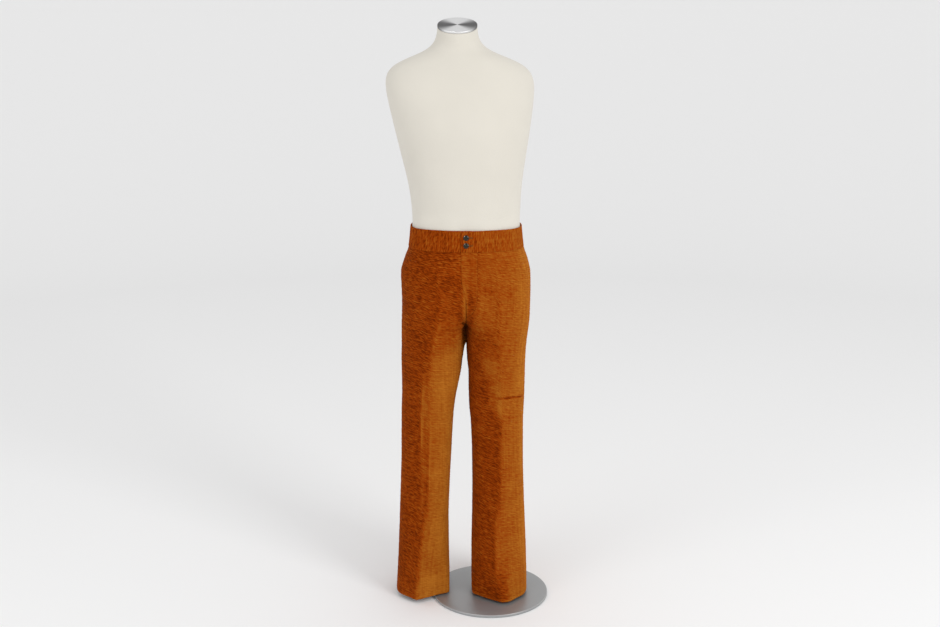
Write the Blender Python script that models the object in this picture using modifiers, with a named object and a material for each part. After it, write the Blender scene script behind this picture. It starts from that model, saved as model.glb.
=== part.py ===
"""Corduroy flares standing on a limbless dress form with a post and a round steel base plate.

Metres, +Z up. The front of the garment faces -Y and the wearer's left is at +X.
The origin is the centre of the base plate's underside, on the floor.
"""

import math
from collections import namedtuple

import bmesh
import bpy
from mathutils import Vector

MM = 0.001

# Cloth and seams
WALL = 1.8 * MM
HEM_WALL = 3.4 * MM
SEAM_GAP = 0.3 * MM
HEM_TURN_UP = 42 * MM
BAND_WALL = 2.6 * MM
BAND_PROUD = 0.8 * MM
BAND_LOW = 988 * MM
BAND_TOP = 1040 * MM
CROTCH_HEIGHT = 771 * MM
CROTCH_DEPTH = 15 * MM
INSEAM_RUN = 271 * MM
LAP_PAST_CENTRE = 13.5 * MM
UNDERLAP_PAST_CENTRE = 16 * MM
LAP_EASE = 50 * MM

# Fly and buttons
FLY_WIDTH = 30 * MM
FLY_LAP = 12 * MM
FLY_WALL = 1.3 * MM
FLY_LENGTH = 176 * MM
FLY_CURVE = 62 * MM
FLY_LAP_ENDS = 848 * MM
FLY_LAP_FADES = 70 * MM
FLY_FOOT_INSET = 1.6 * MM
FLY_ROW_CROWDING = 0.8
FLY_BRIDGE = 8 * MM
FLY_CLEAR = 0.5 * MM
BUTTON_HEIGHTS = {"upper": 1023.5 * MM, "lower": 1003.5 * MM}
BUTTON_RADIUS = 7 * MM
BUTTON_DEPTH = 3.2 * MM

# Where the garment's centre plane stands on the stand
GARMENT_CENTRE = Vector((-66.6 * MM, 21 * MM, 0))

# Stand
BASE_RADIUS = 160 * MM
BASE_DEPTH = 8 * MM
BASE_BEVEL = 1.5 * MM
POST_RADIUS = 12.5 * MM
SOCKET_WALL = 5 * MM
SOCKET_CHAMFER = 1.5 * MM
POST_BEVEL = 1 * MM
BASE_SOCKET_HEIGHT = 28 * MM
FORM_SOCKET_HEIGHT = 45 * MM
FLANGE_RADIUS = 38 * MM
FLANGE_DEPTH = 6 * MM
FORM_FLOOR = 842 * MM

# Neck cap of the form
CAP_HALF_WIDTH = 51 * MM
CAP_HALF_DEPTH = 57 * MM
CAP_DEPTH = 5 * MM
CAP_BEVEL = 1.2 * MM
CAP_TILT = math.radians(18.5)

ROUND_STEPS = 32
BUTTON_STEPS = 22
PLATE_SIDES = 56
FORM_STATIONS = 32
MERGE = 0.0001
SHARP_EDGE = math.radians(35)
COLUMNS_IN_HALF = 6

# One row for each height of a leg, in millimetres from the garment's centre plane.
# outer and inner are the side seam and the inseam, front and back the two pressed creases,
# and turn_out and turn_in the angles at which the cloth leaves a crease.
LegRow = namedtuple(
    "LegRow",
    "height outer inner side_y crease front back_crease back turn_out turn_in",
)
LEFT_LEG = [
    LegRow(1040, 145.0, 0.3, 0, 76, -97.0, 74, 92.0, 20, -17),
    LegRow(1014, 147.5, 0.3, 0, 77, -100.0, 75, 96.0, 20, -17),
    LegRow(988, 150.5, 0.3, -2, 78, -103.0, 76, 100.0, 18, -15),
    LegRow(950, 163.0, 0.3, -4, 78, -110.0, 77, 114.0, 15, -9),
    LegRow(915, 170.0, 0.3, -5, 80, -114.0, 78, 123.0, 14, -3),
    LegRow(875, 171.0, 0.3, -6, 82, -115.5, 80, 127.0, 14, 3),
    LegRow(836, 170.5, 0.3, -6, 84, -114.0, 81, 125.5, 15, 8),
    LegRow(800, 169.5, 0.3, -6, 85, -111.5, 82, 121.0, 16, 11),
    LegRow(771, 167.0, 0.5, -6, 86, -108.5, 83, 116.0, 17, 13),
    LegRow(720, 161.0, 0.6, -6, 89, -102.0, 83, 107.0, 18, 15),
    LegRow(670, 158.5, 3.0, -6, 92, -96.0, 84, 99.0, 19, 17),
    LegRow(640, 158.0, 6.3, -7, 93, -93.0, 84, 95.0, 20, 18),
    LegRow(600, 157.5, 6.6, -7, 94, -90.0, 85, 92.0, 20, 19),
    LegRow(550, 156.0, 8.0, -8, 94, -86.5, 86, 89.0, 21, 20),
    LegRow(517, 154.5, 11.5, -8, 94, -85.0, 86, 87.0, 21, 21),
    LegRow(413, 155.0, 16.0, -9, 93, -88.0, 87, 86.0, 24, 24),
    LegRow(308, 158.0, 17.0, -11, 88, -96.0, 92, 87.0, 27, 26),
    LegRow(218, 162.0, 16.0, -13, 80, -104.0, 95, 88.0, 30, 28),
    LegRow(128, 166.0, 14.5, -15, 80, -111.0, 92, 87.0, 28, 30),
    LegRow(56, 168.0, 14.5, -16, 89, -116.0, 84, 86.0, 12, 31),
    LegRow(14, 168.5, 15.0, -16, 97, -118.0, 80, 85.0, -7, 31),
]
RIGHT_LEG = [
    LegRow(1040, 145.0, 0.3, 0, 76, -97.0, 74, 92.0, 20, -17),
    LegRow(1014, 147.5, 0.3, 0, 76, -100.0, 75, 96.0, 20, -17),
    LegRow(988, 150.5, 0.3, -2, 76, -103.5, 76, 100.0, 18, -15),
    LegRow(950, 164.0, 0.3, -4, 74, -110.5, 77, 114.0, 15, -9),
    LegRow(915, 172.5, 0.3, -5, 73, -114.5, 78, 123.0, 14, -3),
    LegRow(875, 171.5, 0.3, -6, 72, -115.5, 80, 127.0, 14, 3),
    LegRow(836, 170.6, 0.3, -6, 73, -114.0, 82, 125.5, 15, 8),
    LegRow(800, 171.5, 0.3, -6, 76, -111.5, 83, 121.0, 16, 11),
    LegRow(771, 172.5, 0.5, -6, 80, -108.0, 84, 116.0, 17, 13),
    LegRow(720, 173.0, 1.6, -6, 87, -102.0, 87, 107.0, 18, 15),
    LegRow(700, 173.5, 6.2, -6, 91, -99.0, 89, 103.0, 19, 16),
    LegRow(670, 174.0, 10.8, -6, 94, -96.0, 90, 100.0, 19, 17),
    LegRow(630, 173.5, 16.3, -6, 96, -92.5, 92, 96.0, 20, 18),
    LegRow(600, 173.5, 23.5, -6, 98, -90.0, 94, 93.0, 20, 19),
    LegRow(550, 175.0, 32.0, -6, 99, -87.0, 97, 90.0, 21, 20),
    LegRow(517, 176.0, 35.5, -6, 99, -85.0, 98, 88.0, 21, 21),
    LegRow(413, 177.5, 41.5, -6, 99, -84.5, 102, 88.0, 24, 24),
    LegRow(308, 181.5, 47.0, -6, 101, -87.0, 105, 92.0, 27, 26),
    LegRow(218, 185.0, 50.0, -6, 115, -91.5, 106, 97.0, 31, 28),
    LegRow(128, 189.0, 49.5, -6, 129, -96.0, 106, 101.0, 35, 30),
    LegRow(56, 193.0, 48.2, -6, 135, -99.0, 107, 104.0, 39, 30),
    LegRow(12, 196.0, 48.6, -6, 137, -100.0, 107, 105.0, 42, 30),
]

# The seam that runs under the body from the front waist to the back waist.
# The turns say how far each half has rolled in towards that seam.
SeatRow = namedtuple("SeatRow", "height front back front_turn back_turn")
SEAT = [
    SeatRow(1040, -108.0, 101.0, 0, 0),
    SeatRow(1014, -111.0, 105.0, 0, 0),
    SeatRow(988, -114.0, 109.0, 0, 0),
    SeatRow(950, -118.0, 121.0, 0, 0),
    SeatRow(915, -118.5, 128.0, 4, 3),
    SeatRow(875, -114.5, 130.0, 10, 8),
    SeatRow(845, -106.0, 124.0, 19, 18),
    SeatRow(815, -88.0, 105.0, 36, 38),
    SeatRow(795, -64.0, 80.0, 60, 60),
    SeatRow(780, -30.0, 49.0, 82, 82),
    SeatRow(771, 14.7, 15.3, 90, 90),
]

# Soft folds of the hanging cloth: along runs from the side seam, 0, to the inner seam, 1.
Fold = namedtuple("Fold", "leg face height along depth half_length half_width tilt")
FOLDS = [
    Fold("left", "front", 585, 0.27, 1.6, 30, 5, 4),
    Fold("left", "front", 640, 0.70, 2.6, 70, 20, 52),
    Fold("left", "front", 745, 0.72, 2.2, 60, 18, 38),
    Fold("right", "front", 735, 0.70, 2.4, 60, 18, -40),
    Fold("right", "front", 560, 0.30, 1.8, 70, 20, 70),
    Fold("left", "back", 700, 0.60, 3.0, 75, 16, -28),
    Fold("right", "back", 690, 0.58, 3.2, 70, 17, 26),
    Fold("left", "back", 520, 0.50, 2.4, 60, 12, -8),
    Fold("right", "back", 500, 0.52, 2.2, 65, 13, 9),
    Fold("left", "back", 470, 0.46, 1.8, 50, 10, 6),
    Fold("right", "back", 250, 0.40, 1.6, 90, 24, 78),
    Fold("left", "front", 230, 0.30, 1.5, 90, 24, 80),
]
FOLD_SPAN = 300
FOLD_SEAM_MARGIN = 0.1

# The torso above the waistband: half width, front and back depth, lean to the side, neck tilt.
TorsoRow = namedtuple("TorsoRow", "height half_width front back shift tilt fullness")
TORSO = [
    TorsoRow(1085, 143, 104, 96, 0, 0, 0.92),
    TorsoRow(1140, 147, 107, 98, -2, 0, 0.90),
    TorsoRow(1200, 158, 113, 104, -5, 0, 0.86),
    TorsoRow(1265, 171, 121, 111, -8, 0, 0.84),
    TorsoRow(1325, 182, 122, 113, -11, 0, 0.84),
    TorsoRow(1372, 190, 113, 110, -14, 0, 0.86),
    TorsoRow(1408, 193, 97, 102, -16, 0, 0.90),
    TorsoRow(1434, 187, 83, 93, -18, 0, 0.94),
    TorsoRow(1453, 168, 73, 83, -19, 0, 0.98),
    TorsoRow(1468, 137, 66, 75, -20, 0, 1.00),
    TorsoRow(1481, 103, 60, 68, -21, 2, 1.00),
    TorsoRow(1493, 77, 56, 62, -21, 5, 1.00),
    TorsoRow(1507, 62, 54, 58, -22, 9, 1.00),
    TorsoRow(1521, 55, 55, 56, -22, 13, 1.00),
    TorsoRow(1536, 52, 57, 57, -22, 17, 1.00),
    TorsoRow(1549, 51, 57, 57, -22, 18.5, 1.00),
]

# The form inside the trousers follows the cloth this far inside it.
FormRow = namedtuple("FormRow", "height inset")
FORM_INSETS = [
    FormRow(842, 44.0),
    FormRow(844, 36.0),
    FormRow(850, 27.0),
    FormRow(862, 17.0),
    FormRow(880, 9.0),
    FormRow(900, 6.5),
    FormRow(930, 4.8),
    FormRow(965, 3.8),
    FormRow(988, 2.6),
    FormRow(1014, 2.3),
    FormRow(1040, 2.3),
    FormRow(1052, 3.0),
]
FORM_CONVEX_HEIGHT = 900

# How the rows of points are spread over a leg panel: closer together at the crotch and the knee.
ROWS_ABOVE_CROTCH = 17
ROWS_BELOW_CROTCH = 21
CROTCH_CROWDING = 1.9
THIGH_CROWDING = 1.4
EVEN_SHARE = 0.35
HEM_STEP = 1.2 * MM
HEM_STEP_SEEN = 0.5 * MM

# The share of the way that a section's curve runs on before it bends.
CURVE_REACH = 0.58


def slope_between(low, high, column):
    return (getattr(high, column) - getattr(low, column)) / (high.height - low.height)


def value_at(rows, column, height):
    """One column of a table at any height in millimetres, on a curve that never overshoots."""
    rows = sorted(rows)
    if height <= rows[0].height:
        return getattr(rows[0], column)
    if height >= rows[-1].height:
        return getattr(rows[-1], column)
    index = next(i for i in range(len(rows) - 1) if height <= rows[i + 1].height)
    low, high = rows[index], rows[index + 1]
    slope = slope_between(low, high, column)

    def tangent(at):
        if not 0 < at < len(rows) - 1:
            return slope
        before = slope_between(rows[at - 1], rows[at], column)
        after = slope_between(rows[at], rows[at + 1], column)
        if before * after <= 0:
            return 0.0
        return 2 * before * after / (before + after)

    span = high.height - low.height
    t = (height - low.height) / span
    start, end = getattr(low, column), getattr(high, column)
    return (
        start * (2 * t**3 - 3 * t**2 + 1)
        + end * (3 * t**2 - 2 * t**3)
        + tangent(index) * span * (t**3 - 2 * t**2 + t)
        + tangent(index + 1) * span * (t**3 - t**2)
    )


def smooth_step(value):
    value = min(1.0, max(0.0, value))
    return value * value * (3 - 2 * value)


def curve_point(start, start_way, end, end_way, t):
    """A point on the curve that leaves start along start_way and reaches end against end_way."""
    across = end - start

    def reach(way):
        return way * CURVE_REACH * (abs(across.x * way.x) + abs(across.y * way.y))

    first = start + reach(start_way)
    second = end + reach(end_way)
    rest = 1 - t
    return (
        start * rest**3
        + first * 3 * rest**2 * t
        + second * 3 * rest * t**2
        + end * t**3
    )


def heading(degrees):
    return Vector((math.cos(math.radians(degrees)), math.sin(math.radians(degrees))))


Leg = namedtuple("Leg", "name side rows")
LEFT = Leg("left", 1, LEFT_LEG)
RIGHT = Leg("right", -1, RIGHT_LEG)


def section_point(leg, face, height, along):
    """A point of the cloth's outer outline at a height in metres.

    along is 0 at the side seam, 0.5 at the pressed crease and 1 at the inner seam.
    The section is worked out for the wearer's left leg and mirrored for the right.
    """
    level = height / MM

    def column(name):
        return value_at(leg.rows, name, level)

    way = -1 if face == "front" else 1
    half_gap = SEAM_GAP / MM / 2
    side = Vector((column("outer"), column("side_y") + way * half_gap))
    if face == "front":
        crease = Vector((column("crease"), column("front")))
    else:
        crease = Vector((column("back_crease"), column("back")))
    if along <= 0.5:
        leave = heading(column("turn_out"))
        leave = Vector((leave.x, -way * leave.y))
        point = curve_point(side, Vector((0, way)), crease, leave, along * 2)
    else:
        leave = heading(180 - column("turn_in"))
        leave = Vector((leave.x, -way * leave.y))
        if height > CROTCH_HEIGHT:
            turn = heading(value_at(SEAT, face + "_turn", level))
            inner = Vector((half_gap, value_at(SEAT, face, level)))
            arrive = Vector((turn.x, way * turn.y))
        else:
            below = (CROTCH_HEIGHT - height) / INSEAM_RUN
            inner_y = CROTCH_DEPTH / MM * smooth_step(1 - below)
            inner = Vector((column("inner"), inner_y + way * half_gap))
            arrive = Vector((0, way))
        point = curve_point(crease, leave, inner, arrive, along * 2 - 1)
    return Vector((point.x * leg.side * MM, point.y * MM, height))


def fold_depth(leg, face, height, along):
    """How far the soft folds push the cloth in at a point, in metres."""
    depth = 0.0
    for fold in FOLDS:
        if (fold.leg, fold.face) != (leg.name, face):
            continue
        across = (along - fold.along) * FOLD_SPAN
        up = height / MM - fold.height
        angle = math.radians(fold.tilt)
        run = across * math.cos(angle) + up * math.sin(angle)
        off = up * math.cos(angle) - across * math.sin(angle)
        depth += fold.depth * math.exp(
            -((run / fold.half_length) ** 2) - (off / fold.half_width) ** 2
        )
    edge = min(along, 1 - along) / FOLD_SEAM_MARGIN
    return depth * MM * smooth_step(edge)


NORMAL_STEP = 0.004
NORMAL_RISE = 0.4 * MM


def outward(leg, face, height, along):
    """The cloth's outward normal, the same for both panels at a seam."""
    ahead = section_point(leg, face, height, min(1.0, along + NORMAL_STEP))
    behind = section_point(leg, face, height, max(0.0, along - NORMAL_STEP))
    above = section_point(leg, face, height + NORMAL_RISE, along)
    below = section_point(leg, face, height - NORMAL_RISE, along)
    normal = (ahead - behind).cross(above - below).normalized()
    turned = leg.side if face == "front" else -leg.side
    return normal * -turned


def cloth_point(leg, face, height, along, lift=0.0):
    """A point on the folded cloth, moved out by lift, in the garment's own frame."""
    normal = outward(leg, face, height, along)
    pushed = lift - fold_depth(leg, face, height, along)
    return section_point(leg, face, height, along) + normal * pushed


def row_heights(hem):
    """Pairs of heights, at the side seam and at the inner seam, for each row of a leg panel."""
    top = BAND_LOW - 2 * SEAM_GAP
    pairs = []
    for i in range(ROWS_ABOVE_CROTCH):
        t = i / ROWS_ABOVE_CROTCH
        side = top + (CROTCH_HEIGHT - top) * t
        inner = top + (CROTCH_HEIGHT - top) * (1 - (1 - t) ** CROTCH_CROWDING)
        pairs.append((side, inner))
    step_up = hem + HEM_TURN_UP
    for i in range(ROWS_BELOW_CROTCH):
        t = i / (ROWS_BELOW_CROTCH - 1)
        share = EVEN_SHARE * t + (1 - EVEN_SHARE) * t**THIGH_CROWDING
        level = CROTCH_HEIGHT + (step_up - CROTCH_HEIGHT) * share
        pairs.append((level, level))
    pairs.append((step_up - HEM_STEP, step_up - HEM_STEP))
    pairs.append((hem, hem))
    return pairs


def new_object(name, mesh, material, collection):
    piece = bpy.data.objects.new(name, mesh)
    collection.objects.link(piece)
    mesh.materials.append(material)
    return piece


def wall_mesh(name, outer, inner):
    """A closed wall between two grids of points that have the same rows and columns."""
    rows, columns = len(outer), len(outer[0])
    shell = bmesh.new()
    sheets = [[[shell.verts.new(p) for p in row] for row in grid] for grid in (outer, inner)]
    for sheet in sheets:
        for i in range(rows - 1):
            for j in range(columns - 1):
                shell.faces.new(
                    (sheet[i][j], sheet[i][j + 1], sheet[i + 1][j + 1], sheet[i + 1][j])
                )
    front, back = sheets
    rim = [(0, j) for j in range(columns)]
    rim += [(i, columns - 1) for i in range(1, rows)]
    rim += [(rows - 1, j) for j in range(columns - 2, -1, -1)]
    rim += [(i, 0) for i in range(rows - 2, 0, -1)]
    for (i, j), (k, m) in zip(rim, rim[1:] + rim[:1]):
        shell.faces.new((front[i][j], front[k][m], back[k][m], back[i][j]))
    bmesh.ops.recalc_face_normals(shell, faces=shell.faces)
    mesh = bpy.data.meshes.new(name)
    shell.to_mesh(mesh)
    shell.free()
    return mesh


def finish_cloth(piece):
    """Smooth shading over the cloth, with its cut edges kept sharp."""
    piece.location = GARMENT_CENTRE
    piece.data.shade_smooth()
    piece.data.set_sharp_from_angle(angle=SHARP_EDGE)


def leg_panel(leg, face, material, collection):
    """Half a trouser leg from waistband to hem, with its turned-up hem as a thicker wall."""
    hem = min(row.height for row in leg.rows) * MM
    columns = 2 * COLUMNS_IN_HALF + 1
    outer, inner = [], []
    for side_height, inner_height in row_heights(hem):
        wall = HEM_WALL if side_height < hem + HEM_TURN_UP - HEM_STEP_SEEN else WALL
        outer_row, inner_row = [], []
        for j in range(columns):
            along = j / (columns - 1)
            height = side_height + (inner_height - side_height) * smooth_step(along)
            outer_row.append(cloth_point(leg, face, height, along))
            inner_row.append(cloth_point(leg, face, height, along, -wall))
        outer.append(outer_row)
        inner.append(inner_row)
    name = f"{face}_{leg.name}"
    piece = new_object(name, wall_mesh(name, outer, inner), material, collection)
    finish_cloth(piece)


STATION_LIMIT = 0.6
STATION_HALVINGS = 30
STATION_STEP = 0.01


def round_waist(station, height, lift):
    """A point of the waist ring. station is 0 at the centre front, 1 at the wearer's left side seam,
    2 at the centre back, and negative round the wearer's right."""
    leg = LEFT if station > 0 else RIGHT
    part = abs(station)
    face = "front" if part <= 1 else "back"
    along = 1 - part if part <= 1 else part - 1
    normal = outward(leg, face, height, along)
    return section_point(leg, face, height, along) + normal * lift


def station_at(distance, height):
    """The station of a point this far from the centre front, along X, by halving."""
    low, high = 0.0, STATION_LIMIT
    for _ in range(STATION_HALVINGS):
        middle = (low + high) / 2
        if abs(round_waist(middle, height, 0).x) < abs(distance):
            low = middle
        else:
            high = middle
    return math.copysign(low, distance)


def waistband(leg, material, collection):
    """Half of the waistband, from the centre back round to the front lap or underlap."""
    rows, columns = 3, 37
    outer, inner = [], []
    for i in range(rows):
        height = BAND_LOW + (BAND_TOP - BAND_LOW) * i / (rows - 1)
        if leg is LEFT:
            last = station_at(-LAP_PAST_CENTRE, height)
        else:
            last = station_at(UNDERLAP_PAST_CENTRE, height)
        eased = station_at(LAP_EASE, height)
        under = station_at(UNDERLAP_PAST_CENTRE + 2 * MM, height)
        outer_row, inner_row = [], []
        for j in range(columns):
            station = 2 * leg.side + (last - 2 * leg.side) * j / (columns - 1)
            lift = 0.0
            if leg is LEFT:
                over = smooth_step((eased - station) / (eased - under))
                lift = (BAND_WALL + SEAM_GAP) * over
            outer_row.append(round_waist(station, height, lift + BAND_PROUD))
            inner_row.append(round_waist(station, height, lift + BAND_PROUD - BAND_WALL))
        outer.append(outer_row)
        inner.append(inner_row)
    name = f"waistband_{leg.name}"
    piece = new_object(name, wall_mesh(name, outer, inner), material, collection)
    finish_cloth(piece)


def fly_edges(height):
    """The fly's lapped edge and its stitched edge, as distances from the centre seam.

    The lapped edge lies past the seam, over the wearer's right front, and fades to the seam lower
    down. The stitched edge rounds in to the seam at the fly's foot, as a J.
    """
    lap = smooth_step((height - FLY_LAP_ENDS) / FLY_LAP_FADES)
    lapped = FLY_FOOT_INSET - (FLY_LAP + FLY_FOOT_INSET) * lap
    rise = min(1.0, (height - BAND_LOW + FLY_LENGTH) / FLY_CURVE)
    stitched = FLY_WIDTH * math.sqrt(max(0.0, 1 - (1 - rise) ** 2))
    return lapped, max(stitched, lapped + FLY_FOOT_INSET)


def front_point(distance, height, lift):
    """A point lifted off the two fronts at a signed distance from the centre seam, bridging it."""
    station = math.copysign(max(abs(station_at(distance, height)), 0.0001), distance)
    leg = LEFT if station > 0 else RIGHT
    normal = outward(leg, "front", height, 1 - abs(station))
    share = smooth_step(abs(distance) / FLY_BRIDGE)
    across = Vector((normal.x * share, normal.y, normal.z)).normalized()
    return section_point(leg, "front", height, 1 - abs(station)) + across * lift


def fly(material, collection):
    """The fly: a strip on the wearer's left front that laps over the right one."""
    rows, columns = 15, 6
    top, foot = BAND_LOW - SEAM_GAP, BAND_LOW - FLY_LENGTH + FLY_FOOT_INSET
    outer, inner = [], []
    for i in range(rows):
        height = top + (foot - top) * (i / (rows - 1)) ** FLY_ROW_CROWDING
        lapped, stitched = fly_edges(height)
        spots = [lapped + (stitched - lapped) * j / (columns - 1) for j in range(columns)]
        outer.append([front_point(spot, height, FLY_CLEAR + FLY_WALL) for spot in spots])
        inner.append([front_point(spot, height, FLY_CLEAR) for spot in spots])
    piece = new_object("fly", wall_mesh("fly", outer, inner), material, collection)
    finish_cloth(piece)


def turned(name, profile, place, material, collection, steps=ROUND_STEPS):
    """A turned solid from a profile of (radius, height) that runs down its outer side."""
    mesh = bpy.data.meshes.new(name)
    points = [(radius, 0, height) for radius, height in profile]
    mesh.from_pydata(points, [(i, i + 1) for i in range(len(points) - 1)], [])
    piece = new_object(name, mesh, material, collection)
    screw = piece.modifiers.new("turn", "SCREW")
    screw.steps = screw.render_steps = steps
    screw.use_merge_vertices = True
    screw.merge_threshold = MERGE
    screw.use_smooth_shade = True
    piece.location = place
    return piece


def button(name, height, material, collection):
    """A shank button: a domed face inside a low rolled rim, over a short shank."""
    lift = BAND_WALL + SEAM_GAP + BAND_PROUD
    seat = round_waist(0.0001, height, lift + SEAM_GAP)
    normal = outward(LEFT, "front", height, 1)
    r, d = BUTTON_RADIUS, BUTTON_DEPTH
    profile = [
        (0, d),
        (r * 0.45, d * 0.94),
        (r * 0.72, d * 0.80),
        (r * 0.84, d * 0.86),
        (r * 0.95, d * 0.76),
        (r, d * 0.58),
        (r * 0.92, d * 0.42),
        (r * 0.40, d * 0.40),
        (r * 0.38, 0),
        (0, 0),
    ]
    place = seat + GARMENT_CENTRE
    piece = turned(name, profile, place, material, collection, BUTTON_STEPS)
    piece.rotation_mode = "QUATERNION"
    piece.rotation_quaternion = normal.to_track_quat("Z", "Y")


def torso_ring(height, stations):
    """The ring of the form above the waistband, on a plane that tilts towards the neck."""
    level = height / MM

    def column(name):
        return value_at(TORSO, name, level)

    tilt = math.tan(math.radians(column("tilt")))
    fullness = column("fullness")
    ring = []
    for station in stations:
        angle = station * math.pi / 2
        across, ahead = math.sin(angle), math.cos(angle)
        x = column("half_width") * math.copysign(abs(across) ** fullness, across)
        depth = column("front") if ahead > 0 else column("back")
        y = -depth * math.copysign(abs(ahead) ** fullness, ahead)
        ring.append(Vector((x + column("shift"), y, level + y * tilt)) * MM)
    return ring


def form_ring(height, stations):
    """The ring of the form inside the cloth, set in from it."""
    level = height / MM
    inset = value_at(FORM_INSETS, "inset", level) * MM
    follow = max(height, FORM_CONVEX_HEIGHT * MM)
    ring = []
    for station in stations:
        point = round_waist(station, follow, 0)
        normal = outward_in_plan(station, follow)
        ring.append(Vector((point.x, point.y, height)) - normal * inset)
    return ring


def outward_in_plan(station, height):
    """The level direction that faces away from the body at a station of the waist ring."""
    ahead = round_waist(wrapped(station + STATION_STEP), height, 0)
    behind = round_waist(wrapped(station - STATION_STEP), height, 0)
    along = ahead - behind
    return Vector((along.y, -along.x, 0)).normalized()


def wrapped(station):
    return (station + 2) % 4 - 2


def form_rings():
    """Every ring of the dress form from its flat floor to its tilted neck."""
    stations = [wrapped(-2 + 4 * (i + 0.5) / FORM_STATIONS) for i in range(FORM_STATIONS)]
    rings = [form_ring(row.height * MM, stations) for row in FORM_INSETS]
    waist = FORM_INSETS[-1].height * MM
    chest = TORSO[0].height * MM
    for share in (1 / 3, 2 / 3):
        height = waist + (chest - waist) * share
        low = form_ring(waist, stations)
        high = torso_ring(chest, stations)
        blend = smooth_step(share)
        ring = [a.lerp(b, blend) for a, b in zip(low, high)]
        rings.append([Vector((p.x, p.y, height)) for p in ring])
    rings += [torso_ring(row.height * MM, stations) for row in TORSO]
    return rings


def dress_form(material, collection):
    """The limbless form: a smooth torso from the hips to the neck, lofted through its rings."""
    rings = form_rings()
    body = bmesh.new()
    loops = [[body.verts.new(p) for p in ring] for ring in rings]
    count = len(loops[0])
    for low, high in zip(loops, loops[1:]):
        for j in range(count):
            k = (j + 1) % count
            body.faces.new((low[j], low[k], high[k], high[j]))
    body.faces.new(loops[0])
    body.faces.new(loops[-1])
    bmesh.ops.recalc_face_normals(body, faces=body.faces)
    mesh = bpy.data.meshes.new("torso_form")
    body.to_mesh(mesh)
    body.free()
    piece = new_object("torso_form", mesh, material, collection)
    finish_cloth(piece)


def neck_cap(material, collection):
    """The oval metal plate that closes the neck, tilted forward with it."""
    top = TORSO[-1]
    bpy.ops.mesh.primitive_cylinder_add(vertices=ROUND_STEPS, radius=1, depth=1)
    cap = bpy.context.object
    cap.name = cap.data.name = "neck_cap"
    cap.data.transform(
        cap.matrix_world.Diagonal((CAP_HALF_WIDTH, CAP_HALF_DEPTH, CAP_DEPTH, 1))
    )
    cap.data.materials.append(material)
    move_to(cap, collection)
    raised = CAP_DEPTH / 2 + SEAM_GAP
    cap.rotation_euler.x = CAP_TILT
    cap.location = GARMENT_CENTRE + Vector(
        (
            top.shift * MM,
            -math.sin(CAP_TILT) * raised,
            top.height * MM + math.cos(CAP_TILT) * raised,
        )
    )
    add_bevel(cap, CAP_BEVEL)


def move_to(piece, collection):
    for old in list(piece.users_collection):
        old.objects.unlink(piece)
    collection.objects.link(piece)


def add_bevel(piece, width, segments=1):
    bevel = piece.modifiers.new("edge", "BEVEL")
    bevel.width = width
    bevel.segments = segments
    bevel.limit_method = "ANGLE"
    piece.data.shade_smooth()
    piece.data.set_sharp_from_angle(angle=SHARP_EDGE)


def plain_cylinder(name, radius, low, high, sides, material, collection):
    bpy.ops.mesh.primitive_cylinder_add(
        vertices=sides, radius=radius, depth=high - low, location=(0, 0, (low + high) / 2)
    )
    piece = bpy.context.object
    piece.name = piece.data.name = name
    piece.data.materials.append(material)
    move_to(piece, collection)
    return piece


def stand(steel, collection):
    """Base plate, post and the two sockets that hold the post."""
    base = plain_cylinder("base_plate", BASE_RADIUS, 0, BASE_DEPTH, PLATE_SIDES, steel, collection)
    add_bevel(base, BASE_BEVEL, 2)
    post_low = BASE_DEPTH + SEAM_GAP
    flange_low = FORM_FLOOR - SEAM_GAP - FLANGE_DEPTH
    post_high = flange_low - SEAM_GAP
    post = plain_cylinder("post", POST_RADIUS, post_low, post_high, ROUND_STEPS, steel, collection)
    add_bevel(post, POST_BEVEL)
    bore = POST_RADIUS + SEAM_GAP
    rim = bore + SOCKET_WALL
    low = BASE_DEPTH + SEAM_GAP
    high = low + BASE_SOCKET_HEIGHT
    profile = [
        (bore, high),
        (rim - SOCKET_CHAMFER, high),
        (rim, high - SOCKET_CHAMFER),
        (rim, low),
        (bore, low),
        (bore, high),
    ]
    turned("base_socket", profile, (0, 0, 0), steel, collection)
    low = flange_low - FORM_SOCKET_HEIGHT
    high = flange_low + FLANGE_DEPTH
    profile = [
        (0, high),
        (FLANGE_RADIUS, high),
        (FLANGE_RADIUS, flange_low),
        (rim, flange_low),
        (rim, low),
        (bore, low),
        (bore, flange_low),
        (0, flange_low),
    ]
    turned("form_socket", profile, (0, 0, 0), steel, collection)


def surface(name, colour, roughness, metallic):
    """A Principled material with one plain colour."""
    material = bpy.data.materials.new(name)
    material.use_nodes = True
    shader = material.node_tree.nodes["Principled BSDF"]
    shader.inputs["Base Color"].default_value = (*colour, 1)
    shader.inputs["Roughness"].default_value = roughness
    shader.inputs["Metallic"].default_value = metallic
    return material


def main():
    for old in list(bpy.data.objects):
        bpy.data.objects.remove(old)
    collection = bpy.data.collections.new("corduroy_flares_on_form")
    bpy.context.scene.collection.children.link(collection)
    cloth = surface("rust corduroy", (0.30, 0.075, 0.010), 0.85, 0)
    steel = surface("brushed steel", (0.42, 0.42, 0.43), 0.38, 1)
    jersey = surface("white jersey over papier mache", (0.76, 0.75, 0.73), 0.8, 0)
    pewter = surface("aged nickel", (0.20, 0.18, 0.15), 0.35, 1)
    for leg in (LEFT, RIGHT):
        for face in ("front", "back"):
            leg_panel(leg, face, cloth, collection)
        waistband(leg, cloth, collection)
    fly(cloth, collection)
    for place, height in BUTTON_HEIGHTS.items():
        button(f"button_{place}", height, pewter, collection)
    dress_form(jersey, collection)
    neck_cap(steel, collection)
    stand(steel, collection)


main()
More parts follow.
